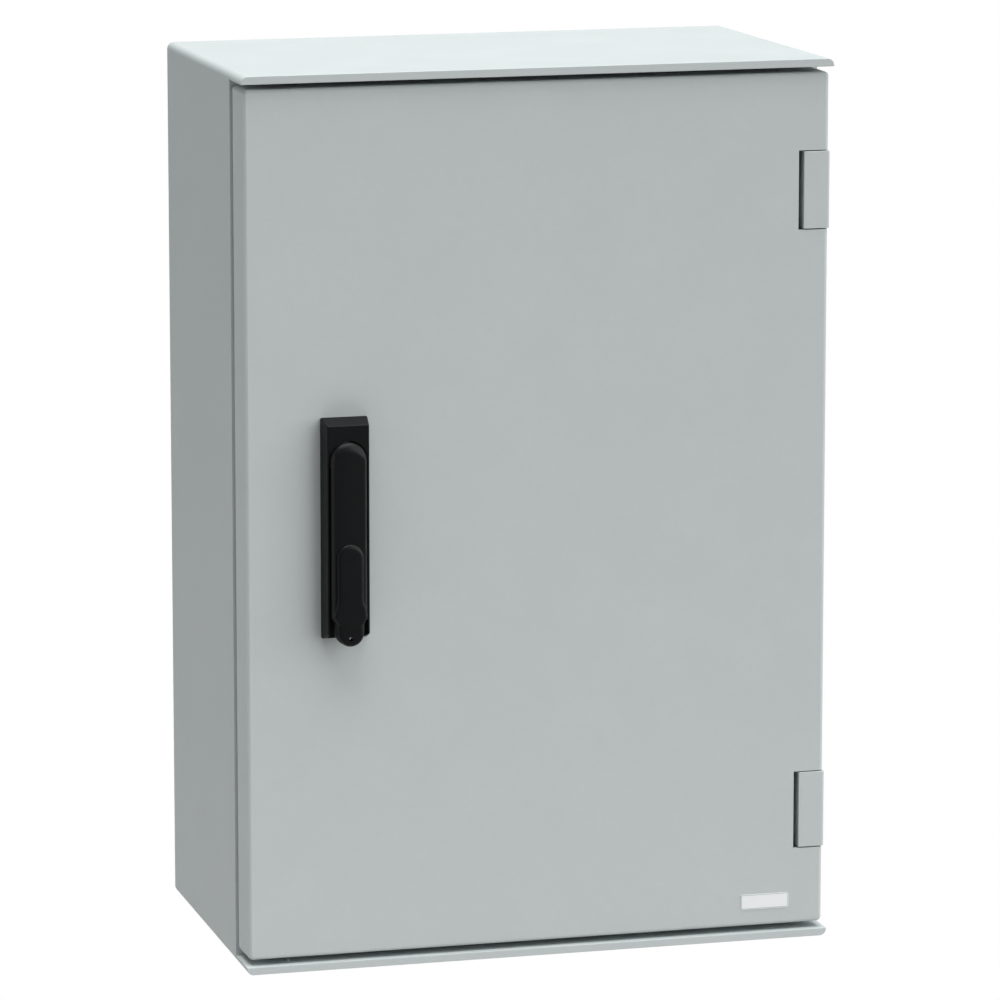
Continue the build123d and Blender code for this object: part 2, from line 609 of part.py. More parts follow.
with BuildPart() as handle_screws:
    clamp_back = -DOOR_WALL - CLAMP_THICKNESS
    with BuildSketch(handle_plane(clamp_back)):
        with Locations((0, TRAY_BOSS_UP), (0, -TRAY_BOSS_DOWN)):
            Circle(SMALL_SCREW_RADIUS)
    extrude(amount=CLAMP_THICKNESS + TRAY_SCREW_ENTRY)
    with BuildSketch(handle_plane(clamp_back)):
        with Locations((0, TRAY_BOSS_UP), (0, -TRAY_BOSS_DOWN)):
            Circle(SMALL_HEAD_RADIUS)
    extrude(amount=-SMALL_HEAD_HEIGHT)
handle_screws.part.label = "handle_screws"
export_step(handle_screws.part, "parts/handle_screws.step")

# Hub: disc in the tray's recess, tongue for the lever's cross pin, and journal through the door
disc_back = tray_floor_proud + HUB_DISC_LIFT
disc_front = disc_back + HUB_DISC_THICKNESS
circlip_front = -DOOR_WALL - CLAMP_THICKNESS - CIRCLIP_GAP
with BuildPart() as hub:
    with BuildSketch(handle_plane(disc_back)):
        Circle(LEVER_WIDTH / 2 - HUB_DISC_INSET)
    extrude(amount=HUB_DISC_THICKNESS)
    with BuildSketch(handle_plane(-JOURNAL_TAIL)):
        Circle(JOURNAL_RADIUS)
    extrude(amount=JOURNAL_TAIL + disc_back)
    with BuildSketch(handle_plane(disc_back)):
        Rectangle(TONGUE_WIDTH, 2 * TONGUE_RADIUS)
    extrude(amount=PIVOT_PROUD - disc_back)
    pivot_place = (spindle_x, door_face_y - PIVOT_PROUD, SPINDLE_Z)
    with Locations(Location(pivot_place, (0, 90, 0))):
        Cylinder(TONGUE_RADIUS, TONGUE_WIDTH)
        Cylinder(PIVOT_RADIUS, TONGUE_WIDTH, mode=Mode.SUBTRACT)
    with BuildSketch(handle_plane(circlip_front - CIRCLIP_THICKNESS)):
        Circle(JOURNAL_RADIUS)
        Circle(JOURNAL_RADIUS - CIRCLIP_GROOVE, mode=Mode.SUBTRACT)
    extrude(amount=CIRCLIP_THICKNESS, mode=Mode.SUBTRACT)
    with BuildSketch(handle_plane(-JOURNAL_TAIL)):
        Rectangle(SPINDLE_SIDE, SPINDLE_SIDE)
    extrude(amount=JOURNAL_TAIL, mode=Mode.SUBTRACT)
hub.part.label = "hub"
export_step(hub.part, "parts/hub.step")

with BuildPart() as hub_circlip:
    groove_radius = JOURNAL_RADIUS - CIRCLIP_GROOVE
    with BuildSketch(handle_plane(circlip_front - CIRCLIP_THICKNESS)):
        Circle(groove_radius + CIRCLIP_WIDTH)
        Circle(groove_radius, mode=Mode.SUBTRACT)
        with Locations((0, -groove_radius)):
            Rectangle(CIRCLIP_MOUTH, 2 * CIRCLIP_WIDTH, mode=Mode.SUBTRACT)
    extrude(amount=CIRCLIP_THICKNESS)
hub_circlip.part.label = "hub_circlip"
export_step(hub_circlip.part, "parts/hub_circlip.step")

# Cross pin: pressed into the hub's tongue, free in the lever's cheeks
cheek_inside = TONGUE_WIDTH / 2 + TONGUE_SIDE_GAP
cheek_outside = cheek_inside + CHEEK_THICKNESS
with BuildPart() as cross_pin:
    with Locations(Location(pivot_place, (0, 90, 0))):
        Cylinder(PIVOT_RADIUS, 2 * (cheek_outside - CROSS_PIN_INSET))
cross_pin.part.label = "cross_pin"
export_step(cross_pin.part, "parts/cross_pin.step")

# Lever: flat grip over the tray, with two cheeks that hang on the cross pin
lever_back = TRAY_PROUD + LEVER_LIFT
lever_face = lever_back + LEVER_THICKNESS
with BuildPart() as lever:
    with BuildSketch(handle_plane(lever_back)):
        Circle(LEVER_WIDTH / 2)
        with BuildLine():
            Polyline(
                (-LEVER_WIDTH / 2, 0),
                (-LEVER_WIDTH / 2, -LEVER_SHOULDER),
                (-lever_end_radius, -LEVER_NECK),
                (-lever_end_radius, -LEVER_END),
                (lever_end_radius, -LEVER_END),
                (lever_end_radius, -LEVER_NECK),
                (LEVER_WIDTH / 2, -LEVER_SHOULDER),
                (LEVER_WIDTH / 2, 0),
                close=True,
            )
        make_face()
        with Locations((0, -LEVER_END)):
            Circle(lever_end_radius)
    extrude(amount=LEVER_THICKNESS)
    fillet(lever.faces().sort_by(Axis.Y)[0].edges(), radius=LEVER_EDGE_RADIUS)
    for side in (-1, 1):
        cheek_x = spindle_x + side * (cheek_inside + cheek_outside) / 2
        with BuildSketch(Plane.YZ.offset(cheek_x)):
            with Locations(pivot_place[1:]):
                Circle(TONGUE_RADIUS)
            with Locations((pivot_place[1] - TONGUE_RADIUS / 4, SPINDLE_Z)):
                Rectangle(TONGUE_RADIUS / 2, 2 * TONGUE_RADIUS)
        extrude(amount=CHEEK_THICKNESS / 2, both=True)
    with BuildSketch(handle_plane(lever_back)):
        Rectangle(2 * cheek_inside, 2 * (TONGUE_RADIUS + TONGUE_SIDE_GAP))
    extrude(amount=PIVOT_PROUD + TONGUE_RADIUS + LEVER_LIFT - lever_back, mode=Mode.SUBTRACT)
    with Locations(Location(pivot_place, (0, 90, 0))):
        Cylinder(PIVOT_RADIUS + RUNNING_CLEARANCE, 2 * cheek_outside, mode=Mode.SUBTRACT)
    with BuildSketch(handle_plane(lever_back)):
        with Locations((0, -COVER_PIVOT)):
            Circle(COVER_PIN_RADIUS + RUNNING_CLEARANCE)
        with Locations((0, -LOCK_DROP)):
            Circle(LOCK_RADIUS + RUNNING_CLEARANCE)
        with Locations((0, -SEAL_HOLE)):
            Circle(SEAL_HOLE_RADIUS)
    extrude(amount=LEVER_THICKNESS, mode=Mode.SUBTRACT)
    with BuildSketch(handle_plane(lever_back)):
        with Locations((0, -LOCK_DROP)):
            Circle(LOCK_RADIUS + LOCK_SHOULDER + RUNNING_CLEARANCE)
        with Locations((0, -COVER_PIVOT)):
            Circle(COVER_HEAD_RADIUS + COVER_HEAD_GAP)
    extrude(amount=LOCK_SHOULDER_HEIGHT + COVER_LIFT, mode=Mode.SUBTRACT)
lever.part.label = "lever"
export_step(lever.part, "parts/lever.step")

# Key cover: swivels on its own pin, and a small screw holds it from behind
cover_back = lever_face + COVER_LIFT
pin_end = cover_back - COVER_LIFT - COVER_PIN_LENGTH
with BuildPart() as key_cover:
    with BuildSketch(handle_plane(cover_back)):
        with BuildLine():
            RadiusArc((0, cover_radius - COVER_PIVOT), (cover_radius, -COVER_PIVOT), cover_radius)
            FilletPolyline(
                (cover_radius, -COVER_PIVOT),
                (cover_radius, -COVER_STRAIGHT),
                (cover_flare, -COVER_FLARE),
                (cover_end_radius, -COVER_NECK),
                (cover_end_radius, -COVER_END),
                radius=COVER_CORNER_RADIUS,
            )
            RadiusArc((cover_end_radius, -COVER_END), (0, -COVER_END - cover_end_radius), cover_end_radius)
            mirror(about=Plane.YZ)
        make_face()
    extrude(amount=COVER_THICKNESS)
    fillet(key_cover.faces().sort_by(Axis.Y)[0].edges(), radius=COVER_EDGE_RADIUS)
    with BuildSketch(handle_plane(pin_end)):
        with Locations((0, -COVER_PIVOT)):
            Circle(COVER_PIN_RADIUS)
    extrude(amount=cover_back - pin_end)
    with BuildSketch(handle_plane(pin_end)):
        with Locations((0, -COVER_PIVOT)):
            Circle(COVER_SCREW_RADIUS)
    extrude(amount=COVER_PIN_LENGTH, mode=Mode.SUBTRACT)
    with BuildSketch(handle_plane(cover_back)):
        with Locations((0, -SEAL_HOLE)):
            Circle(SEAL_HOLE_RADIUS)
    extrude(amount=COVER_THICKNESS, mode=Mode.SUBTRACT)
key_cover.part.label = "key_cover"
export_step(key_cover.part, "parts/key_cover.step")

with BuildPart() as key_cover_screw:
    with BuildSketch(handle_plane(pin_end)):
        with Locations((0, -COVER_PIVOT)):
            Circle(COVER_SCREW_RADIUS)
    extrude(amount=COVER_PIN_LENGTH)
    with BuildSketch(handle_plane(pin_end)):
        with Locations((0, -COVER_PIVOT)):
            Circle(COVER_HEAD_RADIUS)
    extrude(amount=-COVER_HEAD_HEIGHT)
key_cover_screw.part.label = "key_cover_screw"
export_step(key_cover_screw.part, "parts/key_cover_screw.step")

# Lock insert: shouldered plug in the lever, with a key slot
lock_back = lever_back + LOCK_SETBACK
with BuildPart() as lock_insert:
    with BuildSketch(handle_plane(lock_back)):
        with Locations((0, -LOCK_DROP)):
            Circle(LOCK_RADIUS + LOCK_SHOULDER)
    extrude(amount=LOCK_SHOULDER_HEIGHT - LOCK_SETBACK)
    with BuildSketch(handle_plane(lock_back)):
        with Locations((0, -LOCK_DROP)):
            Circle(LOCK_RADIUS)
    extrude(amount=lever_face - lock_back - LOCK_SETBACK)
    with BuildSketch(handle_plane(lever_face - LOCK_SETBACK)):
        with Locations((0, -LOCK_DROP)):
            Rectangle(KEY_SLOT_WIDTH, KEY_SLOT_LENGTH)
    extrude(amount=-KEY_SLOT_DEPTH, mode=Mode.SUBTRACT)
lock_insert.part.label = "lock_insert"
export_step(lock_insert.part, "parts/lock_insert.step")

# Square spindle, spacer sleeve, cam, and the screw and washer that hold the cam on
with BuildPart() as spindle:
    with BuildSketch(handle_plane(0)):
        Rectangle(SPINDLE_SIDE, SPINDLE_SIDE)
    extrude(amount=door_face_y - cam_back_y)
    with BuildSketch(spindle_plane(cam_back_y)):
        Circle(CAM_SCREW_RADIUS)
    extrude(amount=CAM_SCREW_DEPTH, mode=Mode.SUBTRACT)
spindle.part.label = "spindle"
export_step(spindle.part, "parts/spindle.step")

with BuildPart() as spindle_sleeve:
    with BuildSketch(spindle_plane(cam_front_y)):
        Circle(SLEEVE_OUTER_RADIUS)
        Circle(sleeve_inner_radius, mode=Mode.SUBTRACT)
    extrude(amount=cam_front_y - door_face_y - JOURNAL_TAIL)
spindle_sleeve.part.label = "spindle_sleeve"
export_step(spindle_sleeve.part, "parts/spindle_sleeve.step")

cam_nose_reach = spindle_x + opening_width / 2 - CAM_NOSE_GAP
with BuildPart() as cam:
    with BuildSketch(spindle_plane(cam_back_y)):
        Circle(CAM_RADIUS)
        for side in (-1, 1):
            with Locations((side * pin_rise, -side * pin_rise)):
                Circle(CAM_ARM_RADIUS)
        with Locations(Location((0, 0), -45)):
            Rectangle(2 * CAM_ARM, 2 * CAM_ARM_RADIUS)
        with Locations((-cam_nose_reach / 2, 0)):
            RectangleRounded(cam_nose_reach, CAM_NOSE_WIDTH, CAM_NOSE_RADIUS)
        Rectangle(SPINDLE_SIDE, SPINDLE_SIDE, mode=Mode.SUBTRACT)
        with Locations((-pin_rise, pin_rise), (pin_rise, -pin_rise)):
            Circle(ROD_PIN_RADIUS, mode=Mode.SUBTRACT)
    extrude(amount=CAM_THICKNESS)
cam.part.label = "cam"
export_step(cam.part, "parts/cam.step")

with BuildPart() as cam_pins:
    pin_back_y = rod_back_y + ROD_PIN_GAP + ROD_PIN_HEAD
    with BuildSketch(spindle_plane(pin_back_y)):
        with Locations((-pin_rise, pin_rise), (pin_rise, -pin_rise)):
            Circle(ROD_PIN_RADIUS)
    extrude(amount=pin_back_y - cam_front_y)
    with BuildSketch(spindle_plane(pin_back_y)):
        with Locations((-pin_rise, pin_rise), (pin_rise, -pin_rise)):
            Circle(ROD_PIN_HEAD_RADIUS)
    extrude(amount=ROD_PIN_HEAD)
cam_pins.part.label = "cam_pins"
export_step(cam_pins.part, "parts/cam_pins.step")

with BuildPart() as cam_washer:
    with BuildSketch(spindle_plane(cam_back_y + CAM_WASHER_THICKNESS)):
        Circle(CAM_WASHER_RADIUS)
        Circle(CAM_SCREW_RADIUS, mode=Mode.SUBTRACT)
    extrude(amount=CAM_WASHER_THICKNESS)
cam_washer.part.label = "cam_washer"
export_step(cam_washer.part, "parts/cam_washer.step")

with BuildPart() as cam_screw:
    head_seat_y = cam_back_y + CAM_WASHER_THICKNESS
    with BuildSketch(spindle_plane(head_seat_y)):
        Circle(CAM_SCREW_RADIUS)
    extrude(amount=CAM_WASHER_THICKNESS + CAM_SCREW_DEPTH)
    with BuildSketch(spindle_plane(head_seat_y)):
        Circle(CAM_HEAD_RADIUS)
    extrude(amount=-CAM_HEAD_HEIGHT)
cam_screw.part.label = "cam_screw"
export_step(cam_screw.part, "parts/cam_screw.step")

# Locking rods: flat bars with a cross slot for the cam's pin, and their guides on the door
slot_half_height = ROD_PIN_RADIUS + ROD_SLOT_CLEARANCE
slot_width = CAM_ARM - pin_rise + 2 * slot_half_height
guide_base_y = door_inner_y + GUIDE_BOSS_HEIGHT + GUIDE_BASE_THICKNESS
guide_back_y = rod_back_y + GUIDE_WALL
for name, (across, up) in rod_sides.items():
    rod_x = across * rod_mid
    eye_z = up * pin_rise
    reach = rod_tip - up * SPINDLE_Z  # from the spindle's height to the rod's tip
    with BuildPart() as rod:
        with BuildSketch(spindle_plane(rod_back_y)):
            with Locations((rod_x, up * (pin_rise + reach) / 2)):
                Rectangle(ROD_WIDTH, reach - pin_rise)
            with Locations((rod_x, eye_z)):
                RectangleRounded(
                    slot_width + 2 * ROD_EYE_MARGIN,
                    2 * (slot_half_height + ROD_EYE_WALL),
                    ROD_EYE_RADIUS,
                )
                Rectangle(slot_width, 2 * slot_half_height, mode=Mode.SUBTRACT)
        extrude(amount=ROD_THICKNESS)
        tip_edges = rod.edges().filter_by(Axis.Y).sort_by(Axis.Z, reverse=up > 0)[:2]
        chamfer(tip_edges, length=ROD_BEVEL)
    rod.part.label = f"rod_{name}"
    export_step(rod.part, f"parts/rod_{name}.step")

    guide_x, guide_z = guides[name]
    with BuildPart() as rod_guide:
        with BuildSketch(front_plane(guide_base_y)):
            with Locations((guide_x, guide_z)):
                RectangleRounded(GUIDE_WIDTH, GUIDE_BASE_HEIGHT, GUIDE_CORNER_RADIUS)
                with GridLocations(0, GUIDE_SCREW_SPACING, 1, 2):
                    Circle(SMALL_SCREW_RADIUS, mode=Mode.SUBTRACT)
        extrude(amount=GUIDE_BASE_THICKNESS)
        with BuildSketch(front_plane(guide_back_y)):
            with Locations((guide_x, guide_z)):
                Rectangle(GUIDE_WIDTH, GUIDE_NECK_HEIGHT)
        extrude(amount=guide_back_y - guide_base_y)
        with Locations((guide_x, (rod_front_y + rod_back_y) / 2, guide_z)):
            Box(
                ROD_WIDTH + 2 * GUIDE_CLEARANCE,
                ROD_THICKNESS + 2 * GUIDE_CLEARANCE,
                GUIDE_NECK_HEIGHT,
                mode=Mode.SUBTRACT,
            )
    rod_guide.part.label = f"rod_guide_{name}"
    export_step(rod_guide.part, f"parts/rod_guide_{name}.step")

with BuildPart() as guide_screws:
    for guide_place in guides.values():
        with BuildSketch(front_plane(guide_base_y)):
            with Locations(guide_place):
                with GridLocations(0, GUIDE_SCREW_SPACING, 1, 2):
                    Circle(SMALL_SCREW_RADIUS)
        extrude(amount=GUIDE_BASE_THICKNESS + GUIDE_SCREW_ENTRY)
        with BuildSketch(front_plane(guide_base_y)):
            with Locations(guide_place):
                with GridLocations(0, GUIDE_SCREW_SPACING, 1, 2):
                    Circle(SMALL_HEAD_RADIUS)
        extrude(amount=-SMALL_HEAD_HEIGHT)
guide_screws.part.label = "guide_screws"
export_step(guide_screws.part, "parts/guide_screws.step")

# Catch plates on the back of the flange, for the cam's nose and the rods' ends
for name, (x, z, upright) in catches.items():
    with BuildPart() as catch:
        with BuildSketch(front_plane(flange_back_y + CATCH_THICKNESS)):
            with Locations(Location((x, z), 90 if upright else 0)):
                RectangleRounded(CATCH_LENGTH, CATCH_WIDTH, CATCH_CORNER_RADIUS)
                with GridLocations(CATCH_SCREW_SPACING, 0, 2, 1):
                    Circle(SMALL_SCREW_RADIUS, mode=Mode.SUBTRACT)
        extrude(amount=CATCH_THICKNESS)
    catch.part.label = f"catch_{name}"
    export_step(catch.part, f"parts/catch_{name}.step")

with BuildPart() as catch_screws:
    catch_back_y = flange_back_y + CATCH_THICKNESS
    with BuildSketch(front_plane(catch_back_y)):
        with Locations(*catch_screw_places()):
            Circle(SMALL_SCREW_RADIUS)
    extrude(amount=CATCH_THICKNESS + CATCH_SCREW_ENTRY)
    with BuildSketch(front_plane(catch_back_y)):
        with Locations(*catch_screw_places()):
            Circle(SMALL_HEAD_RADIUS)
    extrude(amount=-SMALL_HEAD_HEIGHT)
catch_screws.part.label = "catch_screws"
export_step(catch_screws.part, "parts/catch_screws.step")

# Mounting plate on its bosses, with inserts, washers and screws
with BuildPart() as plate_inserts:
    with BuildSketch(front_plane(boss_front_y + INSERT_LENGTH)):
        with GridLocations(*plate_bolt_spacing, 2, 2):
            Circle(INSERT_RADIUS)
            Circle(PLATE_SCREW_RADIUS, mode=Mode.SUBTRACT)
    extrude(amount=INSERT_LENGTH)
plate_inserts.part.label = "plate_inserts"
export_step(plate_inserts.part, "parts/plate_inserts.step")

with BuildPart() as mounting_plate:
    with BuildSketch(front_plane(boss_front_y)):
        RectangleRounded(plate_width, plate_height, PLATE_CORNER_RADIUS)
        with GridLocations(*plate_bolt_spacing, 2, 2):
            Circle(PLATE_SCREW_RADIUS + SCREW_HOLE_CLEARANCE, mode=Mode.SUBTRACT)
        with Locations(earth_place):
            Circle(EARTH_BOLT_RADIUS + SCREW_HOLE_CLEARANCE, mode=Mode.SUBTRACT)
    extrude(amount=PLATE_THICKNESS)
mounting_plate.part.label = "mounting_plate"
export_step(mounting_plate.part, "parts/mounting_plate.step")

with BuildPart() as plate_washers:
    with BuildSketch(front_plane(plate_front_y)):
        with GridLocations(*plate_bolt_spacing, 2, 2):
            Circle(2 * PLATE_SCREW_RADIUS)
            Circle(PLATE_SCREW_RADIUS + SCREW_HOLE_CLEARANCE, mode=Mode.SUBTRACT)
    extrude(amount=WASHER_THICKNESS)
plate_washers.part.label = "plate_washers"
export_step(plate_washers.part, "parts/plate_washers.step")

with BuildPart() as plate_screws:
    plate_head_y = plate_front_y - WASHER_THICKNESS
    plate_screw_reach = PLATE_THICKNESS + WASHER_THICKNESS + INSERT_LENGTH - PLATE_SCREW_SHORT
    with BuildSketch(front_plane(plate_head_y)):
        with GridLocations(*plate_bolt_spacing, 2, 2):
            Circle(PLATE_SCREW_RADIUS)
    extrude(amount=-plate_screw_reach)
    with BuildSketch(front_plane(plate_head_y)):
        with GridLocations(*plate_bolt_spacing, 2, 2):
            Circle(PLATE_HEAD_RADIUS)
    extrude(amount=PLATE_HEAD_HEIGHT)
plate_screws.part.label = "plate_screws"
export_step(plate_screws.part, "parts/plate_screws.step")

# Earthing bolt through the plate, with washers and nuts in front
with BuildPart() as earth_bolt:
    with BuildSketch(front_plane(boss_front_y)):
        with Locations(earth_place):
            RegularPolygon(radius=EARTH_NUT_ACROSS_CORNERS / 2, side_count=6)
    extrude(amount=-EARTH_HEAD_HEIGHT)
    with BuildSketch(front_plane(boss_front_y)):
        with Locations(earth_place):
            Circle(EARTH_BOLT_RADIUS)
    extrude(amount=EARTH_BOLT_LENGTH)
earth_bolt.part.label = "earth_bolt"
export_step(earth_bolt.part, "parts/earth_bolt.step")

washer_backs = [plate_front_y, plate_front_y - WASHER_THICKNESS - EARTH_NUT_HEIGHT]
with BuildPart() as earth_washers:
    for y in washer_backs:
        with BuildSketch(front_plane(y)):
            with Locations(earth_place):
                Circle(2 * EARTH_BOLT_RADIUS)
                Circle(EARTH_BOLT_RADIUS, mode=Mode.SUBTRACT)
        extrude(amount=WASHER_THICKNESS)
earth_washers.part.label = "earth_washers"
export_step(earth_washers.part, "parts/earth_washers.step")

with BuildPart() as earth_nuts:
    for y in washer_backs:
        with BuildSketch(front_plane(y - WASHER_THICKNESS)):
            with Locations(earth_place):
                RegularPolygon(radius=EARTH_NUT_ACROSS_CORNERS / 2, side_count=6)
                Circle(EARTH_BOLT_RADIUS, mode=Mode.SUBTRACT)
        extrude(amount=EARTH_NUT_HEIGHT)
earth_nuts.part.label = "earth_nuts"
export_step(earth_nuts.part, "parts/earth_nuts.step")
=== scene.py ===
import bmesh
import bpy
import numpy as np
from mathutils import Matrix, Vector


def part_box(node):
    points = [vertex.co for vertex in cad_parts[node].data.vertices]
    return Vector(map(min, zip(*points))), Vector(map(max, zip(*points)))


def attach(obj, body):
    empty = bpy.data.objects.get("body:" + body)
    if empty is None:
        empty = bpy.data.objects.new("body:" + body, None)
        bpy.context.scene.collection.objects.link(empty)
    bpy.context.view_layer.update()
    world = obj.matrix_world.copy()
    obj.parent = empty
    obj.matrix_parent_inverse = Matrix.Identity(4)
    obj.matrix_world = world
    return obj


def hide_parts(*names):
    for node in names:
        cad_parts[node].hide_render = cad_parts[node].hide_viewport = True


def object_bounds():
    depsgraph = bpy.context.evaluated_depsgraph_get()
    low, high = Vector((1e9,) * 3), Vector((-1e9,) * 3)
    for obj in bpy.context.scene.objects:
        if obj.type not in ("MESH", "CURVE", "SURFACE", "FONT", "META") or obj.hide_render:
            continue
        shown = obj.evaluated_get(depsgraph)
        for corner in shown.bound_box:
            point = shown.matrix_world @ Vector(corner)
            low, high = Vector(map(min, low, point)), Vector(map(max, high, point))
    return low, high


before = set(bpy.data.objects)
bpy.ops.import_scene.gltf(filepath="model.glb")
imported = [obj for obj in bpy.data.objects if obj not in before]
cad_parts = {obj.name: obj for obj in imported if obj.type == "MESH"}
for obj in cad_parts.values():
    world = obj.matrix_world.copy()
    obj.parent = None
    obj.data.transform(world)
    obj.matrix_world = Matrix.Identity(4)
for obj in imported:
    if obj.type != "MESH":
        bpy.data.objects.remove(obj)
cad_low, cad_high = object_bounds()

# ---------------------------------------------------------------- Enclosure body
# One moulding of glass-reinforced polyester, hot-pressed in a steel tool: hood, lip, walls and the upstand
# that the door seals on. The tool leaves a satin face with a faint orange peel, and the glass bundles just
# under the skin give it a very soft mottle.

MM = 0.001
GRP_PALE = "#C1C8C8"
GRP_DEEP = "#BFC6C6"
GRP_MOTTLE = 38 * MM
GRP_PEEL = 2.6 * MM
GRP_PEEL_HEIGHT = 0.006 * MM


def linear(code):
    """Linear red, green, blue and alpha of an sRGB hex colour: a channel up to 0.04045 is divided by 12.92,
    and a larger one has 0.055 added, is divided by 1.055 and raised to the power 2.4."""
    channel = np.array([int(code[i:i + 2], 16) for i in (1, 3, 5)]) / 255
    bright = ((channel + 0.055) / 1.055) ** 2.4
    return (*np.where(channel <= 0.04045, channel / 12.92, bright).tolist(), 1.0)


def add(material, kind, settings=None, links=None):
    """One node in a material. Settings go to the input of that name or number, or else to the attribute, and
    links give the output that feeds each input."""
    node = material.node_tree.nodes.new(kind)
    for key, value in (settings or {}).items():
        if isinstance(key, int) or key in node.inputs:
            node.inputs[key].default_value = value
        else:
            setattr(node, key, value)
    for key, output in (links or {}).items():
        material.node_tree.links.new(output, node.inputs[key])
    return node


def material_of(name, colour, roughness, **constants):
    """A material, its shader and its Object coordinates. Constants go on the shader's own sockets."""
    material = bpy.data.materials.new(name)
    material.use_nodes = True
    shader = material.node_tree.nodes["Principled BSDF"]
    shader.inputs["Base Color"].default_value = linear(colour)
    shader.inputs["Roughness"].default_value = roughness
    for key, value in constants.items():
        shader.inputs[key.replace("_", " ")].default_value = value
    where = add(material, "ShaderNodeTexCoord").outputs["Object"]
    return material, shader, where


def feed(material, shader, **outputs):
    """Links node outputs to the shader's inputs, named with underscores for spaces."""
    for key, output in outputs.items():
        material.node_tree.links.new(output, shader.inputs[key.replace("_", " ")])


def dress(material, *nodes):
    """Puts a material on CAD nodes, in every slot they have."""
    for node in nodes:
        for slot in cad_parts[node].material_slots:
            slot.material = material


grp, grp_shader, grp_at = material_of("pressed_glass_polyester", GRP_PALE, 0.5, IOR=1.5)
mottle = add(grp, "ShaderNodeTexNoise", {"Scale": 1 / GRP_MOTTLE, "Detail": 3.0}, {"Vector": grp_at})
bundles = add(
    grp,
    "ShaderNodeTexNoise",
    {"Scale": 1 / (0.3 * GRP_MOTTLE), "Detail": 5.0, "Distortion": 2.0},
    {"Vector": grp_at},
)
both = add(grp, "ShaderNodeMath", {"operation": "MULTIPLY"}, {0: mottle.outputs[0], 1: bundles.outputs[0]})
share = add(grp, "ShaderNodeMapRange", {"From Min": 0.12, "From Max": 0.4}, {"Value": both.outputs[0]})
grp_colour = add(
    grp,
    "ShaderNodeMix",
    {"data_type": "RGBA", 6: linear(GRP_DEEP), 7: linear(GRP_PALE)},
    {0: share.outputs[0]},
)
peel = add(grp, "ShaderNodeTexNoise", {"Scale": 1 / GRP_PEEL, "Detail": 2.0}, {"Vector": grp_at})
gloss = add(grp, "ShaderNodeMapRange", {"To Min": 0.44, "To Max": 0.54}, {"Value": mottle.outputs[0]})
grp_bump = add(grp, "ShaderNodeBump", {"Distance": GRP_PEEL_HEIGHT}, {"Height": peel.outputs[0]})
feed(
    grp, grp_shader, Base_Color=grp_colour.outputs[2], Roughness=gloss.outputs[0],
    Normal=grp_bump.outputs["Normal"],
)
dress(grp, "enclosure_body")

# ---------------------------------------------------------------- Mounting plate
# Hot-dip galvanised steel sheet, sheared and punched. The zinc freezes in spangles a centimetre or so
# across, each with its own tone and sheen.

SPANGLE = 11 * MM

sheet, sheet_shader, sheet_at = material_of("hot_dip_galvanised_steel", "#A9AFB4", 0.4, Metallic=1.0)
crystals = add(sheet, "ShaderNodeTexVoronoi", {"Scale": 1 / SPANGLE, "Randomness": 1.0}, {"Vector": sheet_at})
tone = add(sheet, "ShaderNodeSeparateColor", {}, {"Color": crystals.outputs["Color"]})
sheet_colour = add(
    sheet,
    "ShaderNodeMix",
    {"data_type": "RGBA", 6: linear("#A2A8AD"), 7: linear("#B4B9BD")},
    {0: tone.outputs["Red"]},
)
sheet_gloss = add(
    sheet, "ShaderNodeMapRange", {"To Min": 0.3, "To Max": 0.5}, {"Value": tone.outputs["Green"]}
)
feed(sheet, sheet_shader, Base_Color=sheet_colour.outputs[2], Roughness=sheet_gloss.outputs[0])
dress(sheet, "mounting_plate")

# ---------------------------------------------------------------- Zinc-plated fittings
# Catch plates, cam, rods and clamp are pressed from mild steel and bright zinc plated. The plating keeps the
# fine drag lines of the rolled sheet and passes from grey to a slightly blue tint.

DRAG_LINE = 0.6 * MM  # drawn as coarse as it needs to show
DRAG_HEIGHT = 0.004 * MM
PLATING_CLOUD = 14 * MM

zinc, zinc_shader, zinc_at = material_of("bright_zinc_plate", "#B4BBC2", 0.32, Metallic=1.0)
along_rod = add(zinc, "ShaderNodeMapping", {"Scale": (1.0, 1.0, 0.04)}, {"Vector": zinc_at})
drag = add(
    zinc, "ShaderNodeTexNoise", {"Scale": 1 / DRAG_LINE, "Detail": 2.0}, {"Vector": along_rod.outputs[0]}
)
cloud = add(zinc, "ShaderNodeTexNoise", {"Scale": 1 / PLATING_CLOUD, "Detail": 2.0}, {"Vector": zinc_at})
zinc_colour = add(
    zinc,
    "ShaderNodeMix",
    {"data_type": "RGBA", 6: linear("#AAB4BF"), 7: linear("#BEC1C1")},
    {0: cloud.outputs[0]},
)
zinc_gloss = add(zinc, "ShaderNodeMapRange", {"To Min": 0.24, "To Max": 0.42}, {"Value": drag.outputs[0]})
zinc_bump = add(zinc, "ShaderNodeBump", {"Distance": DRAG_HEIGHT}, {"Height": drag.outputs[0]})
feed(
    zinc, zinc_shader, Base_Color=zinc_colour.outputs[2], Roughness=zinc_gloss.outputs[0],
    Normal=zinc_bump.outputs["Normal"],
)
dress(
    zinc, "catch_side", "catch_upper", "catch_lower", "cam", "cam_pins", "cam_washer", "rod_upper",
    "rod_lower", "handle_clamp", "spindle", "spindle_sleeve", "plate_washers", "earth_bolt",
    "earth_washers", "earth_nuts",
)

# ---------------------------------------------------------------- Brass inserts
# Turned brass bushes moulded into the plate bosses. A fine noise in the sheen stands for the marks that the
# lathe leaves on their faces.

TURNING = 0.8 * MM

